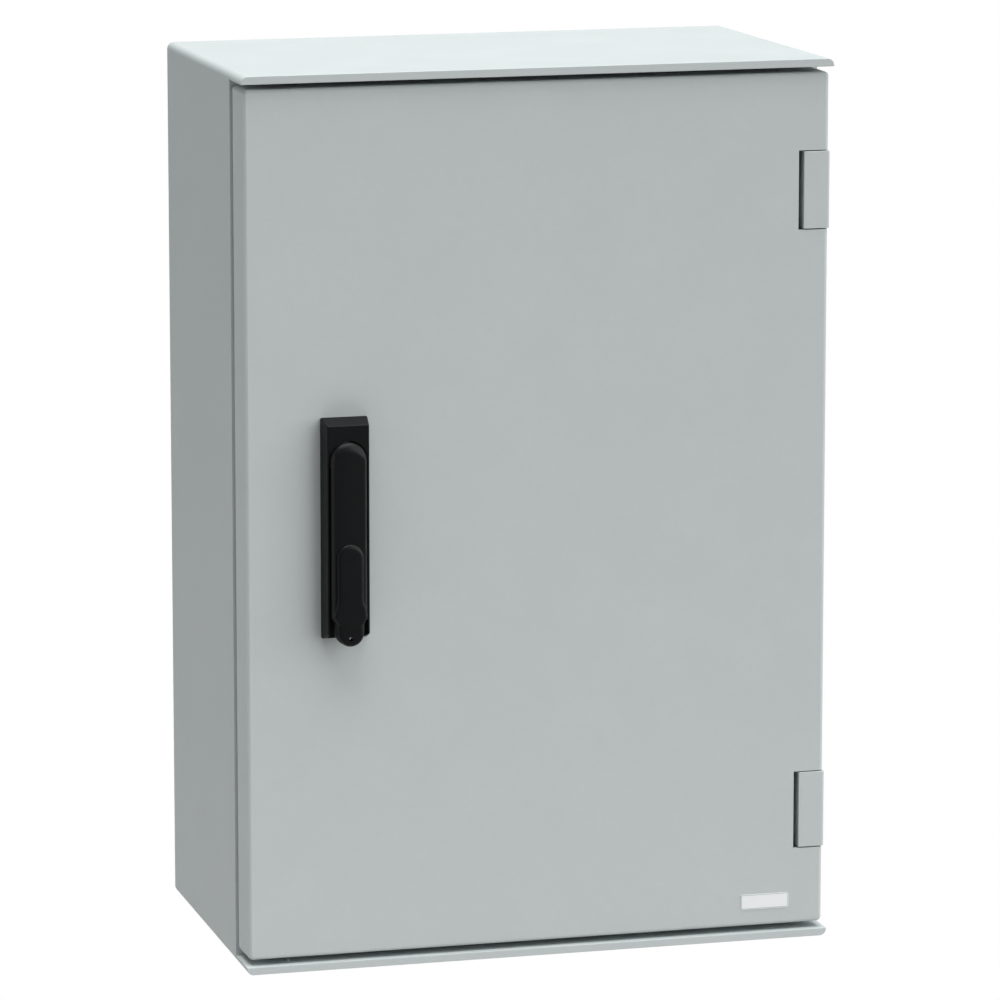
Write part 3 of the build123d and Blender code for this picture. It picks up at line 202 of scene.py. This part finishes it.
brass, brass_shader, brass_at = material_of("turned_brass", "#C8A45A", 0.26, Metallic=1.0)
rings = add(brass, "ShaderNodeTexNoise", {"Scale": 1 / TURNING, "Detail": 1.0}, {"Vector": brass_at})
brass_gloss = add(brass, "ShaderNodeMapRange", {"To Min": 0.2, "To Max": 0.36}, {"Value": rings.outputs[0]})
feed(brass, brass_shader, Roughness=brass_gloss.outputs[0])
dress(brass, "plate_inserts")

# ---------------------------------------------------------------- Screws
# Zinc-plated machine screws with pan heads and a cross recess, rolled threads below. They hold the mounting
# plate, hinge blocks, catch plates, handle, rod guides and cam.

SAME_POINT = 0.001 * MM
HEAD_COLUMNS = 48
HEAD_FALL = 0.3  # of the head's height, from its centre to its rim
RIM = (0.97, 0.66)  # where the top ends, of the head's radius, and where the side starts, of its height
RECESS_REACH = 0.58  # of the head's radius
RECESS_ARM = 0.13
RECESS_SOFT = 0.05
RECESS_DEPTH = 0.62  # of the head's height
THREAD_DEPTH = 0.55  # of the pitch
# Head radius and height, thread radius and pitch
M6 = (5.5 * MM, 4.0 * MM, 3.0 * MM, 1.0 * MM)
M5 = (4.25 * MM, 3.0 * MM, 2.5 * MM, 0.8 * MM)
M4 = (3.6 * MM, 2.6 * MM, 2.0 * MM, 0.7 * MM)
COVER_SCREW = (3.4 * MM, 1.2 * MM, 1.0 * MM, 0.4 * MM)


def grid_mesh(name, grid, close_rows=False):
    """An object from a grid of points, rows by columns: each cell is one quad, the columns close on
    themselves and the rows do if asked. Points that meet, as at a pole, are merged, and faces are turned
    outwards."""
    rows, columns = grid.shape[:2]
    number = np.arange(rows * columns).reshape(rows, columns)
    number = np.hstack([number, number[:, :1]])
    if close_rows:
        number = np.vstack([number, number[:1]])
    corners = [number[:-1, :-1], number[:-1, 1:], number[1:, 1:], number[1:, :-1]]
    quads = np.stack(corners, -1).reshape(-1, 4)
    mesh = bpy.data.meshes.new(name)
    mesh.from_pydata(grid.reshape(-1, 3).tolist(), [], quads.tolist())
    work = bmesh.new()
    work.from_mesh(mesh)
    bmesh.ops.remove_doubles(work, verts=work.verts, dist=SAME_POINT)
    bmesh.ops.dissolve_degenerate(work, edges=work.edges, dist=SAME_POINT)
    bmesh.ops.recalc_face_normals(work, faces=work.faces)
    work.to_mesh(mesh)
    work.free()
    piece = bpy.data.objects.new(name, mesh)
    bpy.context.scene.collection.objects.link(piece)
    return piece


def soften(piece, degrees):
    """Shades a piece smooth, apart from edges sharper than this angle."""
    piece.data.shade_smooth()
    piece.data.set_sharp_from_angle(angle=np.radians(degrees))


def screw_grid(head_radius, head_height, radius, length, pitch, point=0.6):
    """Rings of a pan-head screw about its own axis, head first, as radius, turn and height above the seat.
    The head's top falls as the fourth power of the distance from its centre, and a cross is sunk in it. The
    thread is a triangle wave of height, turning once per pitch."""
    turn = np.linspace(0, 2 * np.pi, HEAD_COLUMNS, endpoint=False)
    out = np.linspace(0, 1, 22)[:, None] * np.ones_like(turn)
    across, up = out * np.cos(turn), out * np.sin(turn)

    def arm(a, b):
        """Depth of one arm of the cross, along a: 1 in its middle, falling evenly to 0 at its sides and, over
        three times that distance, at its ends."""
        narrow = np.clip((RECESS_ARM - abs(b)) / RECESS_SOFT, 0, 1)
        return narrow * np.clip((RECESS_REACH - abs(a)) / RECESS_SOFT / 3, 0, 1)

    sunk = np.maximum(arm(across, up), arm(up, across))
    top = head_height * (1 - HEAD_FALL * out**4) - RECESS_DEPTH * head_height * sunk
    head = np.stack([out * head_radius * RIM[0], turn + 0 * out, top], -1)
    side_height = np.linspace(RIM[1], 0, 5)[:, None] * head_height
    side_radius = head_radius + 0 * side_height * turn
    side = np.stack([side_radius, turn + 0 * side_height, side_height + 0 * turn], -1)
    down = np.linspace(0, length, max(int(length / pitch * 6), 8))[:, None]
    wave = abs(2 * ((down / pitch - turn / 2 / np.pi) % 1) - 1)
    taper = np.clip((length - down) / (point * pitch), 0.35, 1)
    cut = THREAD_DEPTH * pitch * np.clip(down / pitch - 0.6, 0, 1)
    shank = np.stack([(radius - cut * wave) * taper, turn + 0 * down, -down + 0 * turn], -1)
    tip = np.stack([0 * turn, turn, -length + 0 * turn], -1)[None]
    return np.vstack([head, side, shank, tip])


def places_of(node, apart):
    """Centres, in X and Z, of the separate screws in a CAD node: its vertices are grouped wherever they lie
    within this distance of one another."""
    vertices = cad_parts[node].data.vertices
    points = np.empty(3 * len(vertices), np.float32)
    vertices.foreach_get("co", points)
    points = points.reshape(-1, 3)[:, [0, 2]].astype(float)
    centres = []
    while len(points):
        near = np.hypot(*(points - points[0]).T) < apart
        centres.append((points[near].min(0) + points[near].max(0)) / 2)
        points = points[~near]
    return centres


def join(name, pieces):
    """One object that holds the meshes of several."""
    work = bmesh.new()
    for piece in pieces:
        work.from_mesh(piece.data)
        mesh = piece.data
        bpy.data.objects.remove(piece)
        bpy.data.meshes.remove(mesh)
    mesh = bpy.data.meshes.new(name)
    work.to_mesh(mesh)
    work.free()
    piece = bpy.data.objects.new(name, mesh)
    bpy.context.scene.collection.objects.link(piece)
    return piece


def screws(node, body, head_radius, head_height, radius, pitch, head_side):
    """Screws that stand for a CAD node, one at each of its places. head_side is -1 where the heads face the
    front and 1 where they face the wall."""
    low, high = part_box(node)
    length = (high.y - low.y) - head_height
    seat = high.y - head_height if head_side > 0 else low.y + head_height
    made = []
    for x, z in places_of(node, 2.4 * head_radius):
        ring = screw_grid(head_radius, head_height, radius, length, pitch)
        out, turn, rise = ring[..., 0], ring[..., 1], ring[..., 2]
        points = np.stack([x + out * np.cos(turn), seat + head_side * rise, z + out * np.sin(turn)], -1)
        made.append(grid_mesh("one_screw", points))
    piece = join(node + "_pan_head", made)
    piece.data.materials.append(zinc)
    soften(piece, 40)
    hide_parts(node)
    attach(piece, body)
    return piece


screws("plate_screws", "enclosure", *M6, -1)
screws("hinge_screws", "enclosure", *M5, 1)
screws("catch_screws", "enclosure", *M4, 1)
screws("handle_screws", "door", *M4, 1)
screws("guide_screws", "door", *M4, 1)
screws("cam_screw", "spindle", *M5, 1)
screws("key_cover_screw", "key_cover", *COVER_SCREW, 1)

# ---------------------------------------------------------------- Hinge blocks and pins
# Blocks moulded in the body's polyester and screwed to its flange, with a ground stainless pin through
# each. The cross pin and the hub's circlip are of the same steel.

GRINDING = 0.7 * MM

dress(grp, "hinge_block_upper", "hinge_block_lower")
steel, steel_shader, steel_at = material_of("ground_stainless_steel", "#C6C5C1", 0.24, Metallic=1.0)
ground = add(steel, "ShaderNodeTexNoise", {"Scale": 1 / GRINDING, "Detail": 1.0}, {"Vector": steel_at})
steel_gloss = add(steel, "ShaderNodeMapRange", {"To Min": 0.18, "To Max": 0.32}, {"Value": ground.outputs[0]})
feed(steel, steel_shader, Roughness=steel_gloss.outputs[0])
dress(steel, "hinge_pin_upper", "hinge_pin_lower", "cross_pin", "hub_circlip")

# ---------------------------------------------------------------- Door
# A pan moulded in the body's polyester, with the same satin face. The channel for the gasket runs round its
# inside.

dress(grp, "door")

# ---------------------------------------------------------------- Door gasket
# Polyurethane foam poured into the door's channel as one bead. Its skin is closed and slightly domed, with
# fine pores, and the crown of the bead dips a little in small waves all along its length.

BEAD_WIDTH = 12 * MM
BEAD_OUTER_CORNER = 16.5 * MM
BEAD_FALL = 1.4 * MM  # the crown stands this much above the bead's edges
BEAD_SWELL = 0.12 * MM
BEAD_SHOULDER = 0.6 * MM  # how much lower the dome's two edge rows lie
PORE = 0.9 * MM
PORE_DEPTH = 0.12 * MM
SKIN_PATCH = 6 * MM


def round_rectangle(half_width, half_height, corner, per_corner, per_side):
    """Centre line of a rounded rectangle in X and Z, with its outward normals: quarter circles at the four
    corners, joined by straight runs."""
    points, normals = [], []
    for quarter in range(4):
        start = np.pi / 2 * quarter
        angle = start + np.linspace(0, np.pi / 2, per_corner)
        sign = np.array([np.cos(start + np.pi / 4), np.sin(start + np.pi / 4)])
        centre = np.sign(sign) * (half_width - corner, half_height - corner)
        normal = np.stack([np.cos(angle), np.sin(angle)], -1)
        points.append(centre + corner * normal)
        normals.append(normal)
    line, out = [], []
    for here in range(4):
        after = (here + 1) % 4
        line.append(points[here])
        out.append(normals[here])
        step = np.linspace(0, 1, per_side + 2)[1:-1, None]
        line.append(points[here][-1] + step * (points[after][0] - points[here][-1]))
        out.append(np.repeat(normals[here][-1:], per_side, 0))
    return np.vstack(line), np.vstack(out)


gasket_low, gasket_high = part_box("door_gasket")
bead_half = BEAD_WIDTH / 2
path, outward = round_rectangle(
    gasket_high.x - bead_half, gasket_high.z - bead_half, BEAD_OUTER_CORNER - bead_half, 14, 70
)
around = np.linspace(0, 2 * np.pi, len(path), endpoint=False)
swell = BEAD_SWELL * (np.sin(37 * around) + 0.6 * np.sin(83 * around + 1.0) - 1.6)
# Section: from -1 to 1 across the bead, a flat foot and a dome that falls as the fourth power
section = np.linspace(-1, 1, 17)
dome = gasket_high.y - BEAD_FALL * section**4
dome[[0, -1]] -= BEAD_SHOULDER
offset = np.concatenate([[-1, -1], section, [1, 1]]) * bead_half
rise = np.concatenate([[gasket_low.y, gasket_low.y], dome, [gasket_low.y, gasket_low.y]])
offset[[0, -1]] *= 0.5
lift = np.concatenate([[0, 0], 1 - abs(section), [0, 0]])
bead = np.empty((len(offset), len(path), 3))
bead[..., 0] = path[:, 0] + offset[:, None] * outward[:, 0]
bead[..., 1] = rise[:, None] + lift[:, None] * swell
bead[..., 2] = path[:, 1] + offset[:, None] * outward[:, 1]

foam, foam_shader, foam_at = material_of(
    "poured_polyurethane_foam", "#4A4D4F", 0.85, IOR=1.45, Sheen_Weight=0.15
)
pores = add(foam, "ShaderNodeTexVoronoi", {"Scale": 1 / PORE}, {"Vector": foam_at})
skin = add(foam, "ShaderNodeTexNoise", {"Scale": 1 / SKIN_PATCH, "Detail": 3.0}, {"Vector": foam_at})
foam_colour = add(
    foam,
    "ShaderNodeMix",
    {"data_type": "RGBA", 6: linear("#424547"), 7: linear("#525557")},
    {0: skin.outputs[0]},
)
foam_bump = add(foam, "ShaderNodeBump", {"Distance": PORE_DEPTH}, {"Height": pores.outputs["Distance"]})
feed(foam, foam_shader, Base_Color=foam_colour.outputs[2], Normal=foam_bump.outputs["Normal"])
gasket = grid_mesh("door_gasket_bead", bead, close_rows=True)
gasket.data.materials.append(foam)
soften(gasket, 50)
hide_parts("door_gasket")
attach(gasket, "door")
dress(foam, "handle_gasket")

# ---------------------------------------------------------------- Rating plate
# White polyester film with a thin printed frame, left blank. The frame is where the distance to the
# plate's edge, along X or along Z, lies inside a narrow band.

FRAME_INSET = 0.35 * MM
FRAME_LINE = 0.35 * MM

plate_low, plate_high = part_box("rating_plate")
plate_middle = (plate_low + plate_high) / 2
film, film_shader, film_at = material_of("printed_polyester_film", "#F1F4F5", 0.35, IOR=1.5, Coat_Weight=0.2)
centred = add(film, "ShaderNodeMapping", {"Location": tuple(-plate_middle)}, {"Vector": film_at})
axes = add(film, "ShaderNodeSeparateXYZ", {}, {"Vector": centred.outputs[0]})
bands = []
for output, half in (("X", (plate_high.x - plate_low.x) / 2), ("Z", (plate_high.z - plate_low.z) / 2)):
    size = add(film, "ShaderNodeMath", {"operation": "ABSOLUTE"}, {0: axes.outputs[output]})
    bands.append(add(film, "ShaderNodeMath", {"operation": "SUBTRACT", 0: half}, {1: size.outputs[0]}))
nearest = add(
    film, "ShaderNodeMath", {"operation": "MINIMUM"}, {0: bands[0].outputs[0], 1: bands[1].outputs[0]}
)
inside = add(
    film,
    "ShaderNodeMath",
    {"operation": "COMPARE", 1: FRAME_INSET + FRAME_LINE / 2, 2: FRAME_LINE / 2},
    {0: nearest.outputs[0]},
)
film_colour = add(
    film,
    "ShaderNodeMix",
    {"data_type": "RGBA", 6: linear("#F1F4F5"), 7: linear("#9DA3A6")},
    {0: inside.outputs[0]},
)
feed(film, film_shader, Base_Color=film_colour.outputs[2])
dress(film, "rating_plate")

# ---------------------------------------------------------------- Handle tray, hub and rod guides
# Glass-filled polyamide, injection moulded in a spark-eroded tool that leaves a fine even grain. The hub
# and the lock insert are zinc die castings with the soft grey bloom of their tumbled skin.

GRAIN = 0.55 * MM  # drawn as coarse as it needs to show
GRAIN_HEIGHT = 0.01 * MM
TONE_PATCH = 9 * MM
BLOOM = 3 * MM
BLOOM_HEIGHT = 0.01 * MM

nylon, nylon_shader, nylon_at = material_of(
    "moulded_black_polyamide", "#0D0E10", 0.4, IOR=1.53, Specular_IOR_Level=0.19
)
grain = add(nylon, "ShaderNodeTexNoise", {"Scale": 1 / GRAIN, "Detail": 2.0}, {"Vector": nylon_at})
patch = add(nylon, "ShaderNodeTexNoise", {"Scale": 1 / TONE_PATCH, "Detail": 2.0}, {"Vector": nylon_at})
nylon_colour = add(
    nylon,
    "ShaderNodeMix",
    {"data_type": "RGBA", 6: linear("#0B0C0E"), 7: linear("#0F1012")},
    {0: patch.outputs[0]},
)
nylon_gloss = add(nylon, "ShaderNodeMapRange", {"To Min": 0.34, "To Max": 0.44}, {"Value": grain.outputs[0]})
nylon_bump = add(nylon, "ShaderNodeBump", {"Distance": GRAIN_HEIGHT}, {"Height": grain.outputs[0]})
feed(
    nylon, nylon_shader, Base_Color=nylon_colour.outputs[2], Roughness=nylon_gloss.outputs[0],
    Normal=nylon_bump.outputs["Normal"],
)
dress(nylon, "handle_tray", "rod_guide_upper", "rod_guide_lower")

casting, casting_shader, casting_at = material_of("zinc_die_casting", "#8F9498", 0.42, Metallic=0.95)
bloom = add(casting, "ShaderNodeTexNoise", {"Scale": 1 / BLOOM, "Detail": 4.0}, {"Vector": casting_at})
casting_gloss = add(
    casting, "ShaderNodeMapRange", {"To Min": 0.34, "To Max": 0.52}, {"Value": bloom.outputs[0]}
)
casting_bump = add(casting, "ShaderNodeBump", {"Distance": BLOOM_HEIGHT}, {"Height": bloom.outputs[0]})
feed(casting, casting_shader, Roughness=casting_gloss.outputs[0], Normal=casting_bump.outputs["Normal"])
dress(casting, "hub", "lock_insert")

# ---------------------------------------------------------------- Lever
# The grip, moulded in the same black polyamide. Its edge rolls over from a soft crease, most broadly round
# the top end. Two cheeks behind it hang on the cross pin, with a pocket between them for the hub.

LEVER_ROLL = 2.6 * MM
LEVER_TOP_ROLL = 5.6 * MM
ROLL_SLOPES = (86, 40)  # degrees, at the outline and at the crease
LEVER_ROLL_DEPTH = 4.2 * MM
LEVER_CROWN = 0.25 * MM
LEVER_THICKNESS = 4.7 * MM
LEVER_SHOULDER = (-113.2 * MM, -116.4 * MM)
LEVER_END = 11.2 * MM  # radius
LEVER_ROUND = 13.2 * MM


def arc(centre_z, radius, start, stop, count):
    """Points of a circle centred on X = 0, from one angle to another, in degrees from +X."""
    angle = np.radians(np.linspace(start, stop, count))
    return np.stack([radius * np.cos(angle), centre_z + radius * np.sin(angle)], -1)


def evenly(points, count):
    """A closed outline redrawn with this many points, evenly spaced along it."""
    closed = np.vstack([points, points[:1]])
    run = np.concatenate([[0], np.cumsum(np.hypot(*np.diff(closed, axis=0).T))])
    step = np.linspace(0, run[-1], count, endpoint=False)
    return np.stack([np.interp(step, run, closed[:, 0]), np.interp(step, run, closed[:, 1])], -1)


def rolled_plate(name, outline, spine, origin, back, thickness, roll, depth, crown):
    """A plate whose front edge rolls over. From each point of the outline, rows run in towards the nearest
    point of the spine, a line on X = 0. The roll is an arc stretched to be roll wide and depth deep. Its
    slope lessens from the outline to a crease: the way in goes as the sine of the outline's slope less the
    sine of the slope there, and the rise as the cosine there less the cosine at the outline. The front falls
    from the spine to the edge as the square of the distance, by the crown."""
    heart = np.stack([0 * outline[:, 0], np.clip(outline[:, 1], *spine)], -1)
    reach = np.hypot(*(outline - heart).T)
    slope = np.radians(np.linspace(*ROLL_SLOPES, 13))[:, None]
    way_in = (np.sin(slope[0]) - np.sin(slope)) / (np.sin(slope[0]) - np.sin(slope[-1]))
    climb = (np.cos(slope) - np.cos(slope[0])) / (np.cos(slope[-1]) - np.cos(slope[0]))
    rolled = np.minimum(roll, 0.95 * reach) * way_in
    inner = rolled[-1] + np.linspace(0, 1, 7)[1:, None] * (reach - rolled[-1])
    inward = np.vstack([rolled, inner])
    height = np.vstack([thickness - depth * (1 - climb) + 0 * reach, thickness + 0 * inner])
    height -= crown * (1 - inward / reach) ** 2
    inward = np.vstack([reach[None], 0.5 * reach[None], 0 * reach[None], inward])
    height = np.vstack([np.zeros((3, len(reach))), height])
    share = (1 - inward / reach)[..., None]
    flat = heart + share * (outline - heart)
    points = np.empty((*flat.shape[:2], 3))
    points[..., 0] = origin[0] + flat[..., 0]
    points[..., 1] = back - height
    points[..., 2] = origin[1] + flat[..., 1]
    return grid_mesh(name, points)


def round_bar(name, centre, axis, low, high, radius, columns=64):
    """A closed round bar along X or Y, between two levels of that axis."""
    turn = np.linspace(0, 2 * np.pi, columns, endpoint=False)
    out = np.array([0, radius, radius, 0])[:, None]
    level = np.array([low, low, high, high])[:, None] + 0 * turn
    first, second = centre[0] + out * np.cos(turn), centre[1] + out * np.sin(turn)
    order = (first, level, second) if axis == "Y" else (level, first, second)
    return grid_mesh(name, np.stack(order, -1))


def block(name, low, high):
    """A closed block between two corners, as a four-sided bar."""
    x, z = np.array([low[0], high[0], high[0], low[0]]), np.array([low[2], low[2], high[2], high[2]])
    middle = ((low[0] + high[0]) / 2, (low[2] + high[2]) / 2)
    rows = [np.stack([x * s + middle[0] * (1 - s), 0 * x + y, z * s + middle[1] * (1 - s)], -1)
            for y, s in ((low[1], 0), (low[1], 1), (high[1], 1), (high[1], 0))]
    return grid_mesh(name, np.stack(rows))


def shape_with(piece, tool, operation):
    """Joins a tool to a piece, or cuts it out, and takes the tool away."""
    step = piece.modifiers.new(tool.name, "BOOLEAN")
    step.operation = operation
    step.solver = "EXACT"
    step.object = tool
    bpy.context.view_layer.update()
    shown = piece.evaluated_get(bpy.context.evaluated_depsgraph_get())
    mesh = bpy.data.meshes.new_from_object(shown)
    piece.modifiers.clear()
    piece.data = mesh
    bpy.data.objects.remove(tool)


lever_low, lever_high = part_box("lever")
pin_low, pin_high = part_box("cross_pin")
cover_low, cover_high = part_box("key_cover")
lock_low, lock_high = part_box("lock_insert")
rivet_low, rivet_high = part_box("key_cover_screw")
pin = (pin_low + pin_high) / 2
spindle_at = (pin.x, pin.z)
lever_back = lever_low.y + LEVER_THICKNESS
end_z = lever_low.z + LEVER_END - pin.z
lever_outline = evenly(
    np.vstack([
        arc(0, LEVER_ROUND, 0, 180, 60),
        [(-LEVER_ROUND, LEVER_SHOULDER[0]), (-LEVER_END, LEVER_SHOULDER[1])],
        arc(end_z, LEVER_END, 180, 360, 50),
        [(LEVER_END, LEVER_SHOULDER[1]), (LEVER_ROUND, LEVER_SHOULDER[0])],
    ]),
    420,
)
to_top = np.clip(lever_outline[:, 1] / LEVER_ROUND, 0, 1)
roll = LEVER_ROLL + (LEVER_TOP_ROLL - LEVER_ROLL) * to_top**2 * (3 - 2 * to_top)
lever = rolled_plate(
    "lever_grip", lever_outline, (end_z, 0), spindle_at, lever_back, LEVER_THICKNESS, roll,
    LEVER_ROLL_DEPTH, LEVER_CROWN,
)
lever.data.materials.append(nylon)

CHEEK_RADIUS = 5.0 * MM
CHEEK_INSIDE = 5.6 * MM
CHEEK_OUTSIDE = 10.8 * MM
POCKET_HALF_HEIGHT = 5.4 * MM
POCKET_DEPTH = 3.5 * MM
BARE = 0.3 * MM  # how far a tool runs past the face it cuts
TAB_OVERLAP = 1.0 * MM  # how far a cheek's tab runs into the grip
FIT = 0.05 * MM  # room round a pin or lock, on the radius
PIN_BORE_REACH = 12 * MM

for side in (-1, 1):
    edge = sorted((pin.x + side * CHEEK_INSIDE, pin.x + side * CHEEK_OUTSIDE))
    shape_with(lever, round_bar("cheek_eye", (pin.y, pin.z), "X", *edge, CHEEK_RADIUS), "UNION")
    tab = block(
        "cheek_tab",
        (edge[0], lever_back - TAB_OVERLAP, pin.z - CHEEK_RADIUS),
        (edge[1], pin.y, pin.z + CHEEK_RADIUS),
    )
    shape_with(lever, tab, "UNION")
pocket = block(
    "pocket",
    (pin.x - CHEEK_INSIDE, lever_back - POCKET_DEPTH, pin.z - POCKET_HALF_HEIGHT),
    (pin.x + CHEEK_INSIDE, lever_high.y + BARE, pin.z + POCKET_HALF_HEIGHT),
)
shape_with(lever, pocket, "DIFFERENCE")
pin_radius = (pin_high.z - pin_low.z) / 2 + FIT
bore = round_bar(
    "pin_bore", (pin.y, pin.z), "X", pin.x - PIN_BORE_REACH, pin.x + PIN_BORE_REACH, pin_radius
)
shape_with(lever, bore, "DIFFERENCE")

LOCK_SHOULDER = 1.0 * MM
SEAT_DEPTH = 1.6 * MM
STEM_BORE = 2.05 * MM  # radius
RIVET_ROOM = 0.3 * MM
SEAL_HOLE = (127.8 * MM, 1.5 * MM)  # below the spindle, and radius
front, rear = lever_low.y - BARE, lever_back + BARE
lock_z = (lock_low.z + lock_high.z) / 2
lock_radius = (lock_high.x - lock_low.x) / 2
rivet_z = (rivet_low.z + rivet_high.z) / 2
for name, z, radius, start in (
    ("lock_bore", lock_z, lock_radius - LOCK_SHOULDER + FIT, front),
    ("lock_seat", lock_z, lock_radius + FIT, lever_back - SEAT_DEPTH),
    ("cover_bore", rivet_z, STEM_BORE, front),
    ("rivet_seat", rivet_z, (rivet_high.x - rivet_low.x) / 2 + RIVET_ROOM, lever_back - SEAT_DEPTH),
    ("seal_bore", pin.z - SEAL_HOLE[0], SEAL_HOLE[1], front),
):
    shape_with(lever, round_bar(name, (pin.x, z), "Y", start, rear, radius), "DIFFERENCE")
soften(lever, 32)
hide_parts("lever")
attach(lever, "lever")

# ---------------------------------------------------------------- Key cover
# A thin flap in the same polyamide that swivels aside from the lock. It is arched at the top, flares into
# two ears for the thumb, and ends in a round tab with a hole for a lead seal.

COVER_ARCH = 9.7 * MM
COVER_PIVOT = 69.4 * MM
COVER_TAB = 9.4 * MM
COVER_THICKNESS = 1.8 * MM
COVER_ROLL = 1.2 * MM
COVER_TOP_ROLL = 2.8 * MM
COVER_ROLL_DEPTH = 1.6 * MM
COVER_CROWN = 0.1 * MM
STEM_RADIUS = 2.0 * MM
STEM_OVERLAP = 0.4 * MM
RIVET_BORE = (1.0 * MM, 0.1 * MM)  # radius, and how far behind the flap's back it starts
EAR = (12.5 * MM, -112.6 * MM)
EAR_START = -99.4 * MM
NECK = (9.4 * MM, -117.6 * MM)

cover_back = cover_low.y + COVER_THICKNESS
tab_z = cover_low.z + COVER_TAB - pin.z
# The ear swells from the straight side as a smooth step of the way down
down = np.linspace(0, 1, 14)
swollen = COVER_ARCH + (EAR[0] - COVER_ARCH) * down**2 * (3 - 2 * down) ** 0.9
ear = np.stack([swollen, EAR_START + (EAR[1] - EAR_START) * down], -1)
right = np.vstack([ear, [NECK]])
cover_outline = evenly(
    np.vstack([
        arc(-COVER_PIVOT, COVER_ARCH, 0, 180, 60),
        right * (-1, 1),
        arc(tab_z, COVER_TAB, 180, 360, 60),
        right[::-1],
    ]),
    420,
)
above = np.clip((cover_outline[:, 1] + COVER_PIVOT) / COVER_ARCH, 0, 1)
cover = rolled_plate(
    "key_cover_flap", cover_outline, (tab_z, -COVER_PIVOT), spindle_at, cover_back, COVER_THICKNESS,
    COVER_ROLL + (COVER_TOP_ROLL - COVER_ROLL) * above, COVER_ROLL_DEPTH, COVER_CROWN,
)
cover.data.materials.append(nylon)
stem = round_bar("stem", (pin.x, rivet_z), "Y", cover_back - STEM_OVERLAP, cover_high.y, STEM_RADIUS)
shape_with(cover, stem, "UNION")
for name, z, radius, start in (
    ("rivet_bore", rivet_z, RIVET_BORE[0], cover_back + RIVET_BORE[1]),
    ("seal_bore", pin.z - SEAL_HOLE[0], SEAL_HOLE[1], cover_low.y - BARE),
):
    shape_with(cover, round_bar(name, (pin.x, z), "Y", start, cover_high.y + BARE, radius), "DIFFERENCE")
soften(cover, 32)
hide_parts("key_cover")
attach(cover, "key_cover")

# ---------------------------------------------------------------- Floor, light and camera
# A pale matt studio floor, well below a part that hangs on a wall. Broad soft lights come from above, from
# the front right and, weakly, from the left, and the room fills in from all round.

FLOOR_DROP = 1.5
FLOOR_HALF = 2.5
TOP_LIGHT = 4.2
FRONT_LIGHT = 2.25
LEFT_LIGHT = 0.72
ROOM_LIGHT = 0.1
CAMERA_AZIMUTH = -15.637
CAMERA_ELEVATION = 10.4
CAMERA_DISTANCE = 4.5959
CAMERA_LENS = 225.32
AIM = (1.7 * MM, -2.0 * MM, -7.9 * MM)  # from the middle of the part
PAPER_FIBRE = 4 * MM
LAMP_DISTANCE = 3

paper, paper_shader, paper_at = material_of("studio_paper", "#DCDAD7", 0.9)
fibres = add(paper, "ShaderNodeTexNoise", {"Scale": 1 / PAPER_FIBRE, "Detail": 2.0}, {"Vector": paper_at})
paper_gloss = add(paper, "ShaderNodeMapRange", {"To Min": 0.85, "To Max": 0.95}, {"Value": fibres.outputs[0]})
feed(paper, paper_shader, Roughness=paper_gloss.outputs[0])
edge = np.array([(-1, -1), (1, -1), (1, 1), (-1, 1)]) * FLOOR_HALF
floor_mesh = bpy.data.meshes.new("studio_floor")
floor_mesh.from_pydata([(x, y, cad_low.z - FLOOR_DROP) for x, y in edge], [], [(0, 1, 2, 3)])
floor_mesh.materials.append(paper)
floor = bpy.data.objects.new("studio_floor", floor_mesh)
bpy.context.scene.collection.objects.link(floor)


def aimed(thing, azimuth, elevation, distance, target):
    """Places a lamp or camera at this azimuth, elevation and distance from a target, looking at it. Azimuth
    0 looks along +Y."""
    a, e = np.radians((azimuth, elevation))
    back = Vector((np.sin(a) * np.cos(e), -np.cos(a) * np.cos(e), np.sin(e)))
    thing.location = target + back * distance
    thing.rotation_mode = "QUATERNION"
    thing.rotation_quaternion = (-back).to_track_quat("-Z", "Y")
    bpy.context.scene.collection.objects.link(thing)


middle = (cad_low + cad_high) / 2
for name, strength, spread, azimuth, elevation in (
    ("overhead_softbox", TOP_LIGHT, 60, 20, 88),
    ("front_softbox", FRONT_LIGHT, 70, 55, 20),
    ("left_softbox", LEFT_LIGHT, 60, -95, 10),
):
    lamp = bpy.data.lights.new(name, "SUN")
    lamp.energy = strength
    lamp.angle = np.radians(spread)
    aimed(bpy.data.objects.new(name, lamp), azimuth, elevation, LAMP_DISTANCE, middle)

room = bpy.data.worlds.new("studio_room")
room.use_nodes = True
fill = room.node_tree.nodes["Background"]
fill.inputs["Color"].default_value = linear("#F4F8FA")
fill.inputs["Strength"].default_value = ROOM_LIGHT
backdrop = add(room, "ShaderNodeBackground", {"Color": linear("#FFFFFF"), "Strength": 1.0})
seen = add(room, "ShaderNodeLightPath")
blend = add(
    room,
    "ShaderNodeMixShader",
    {},
    {0: seen.outputs["Is Camera Ray"], 1: fill.outputs[0], 2: backdrop.outputs[0]},
)
room.node_tree.links.new(blend.outputs[0], room.node_tree.nodes["World Output"].inputs["Surface"])
bpy.context.scene.world = room
bpy.context.scene.view_settings.view_transform = "Standard"

lens = bpy.data.cameras.new("studio_camera")
lens.lens = CAMERA_LENS
lens.clip_end = 200
camera = bpy.data.objects.new("studio_camera", lens)
aimed(camera, CAMERA_AZIMUTH, CAMERA_ELEVATION, CAMERA_DISTANCE, middle + Vector(AIM))
bpy.context.scene.camera = camera
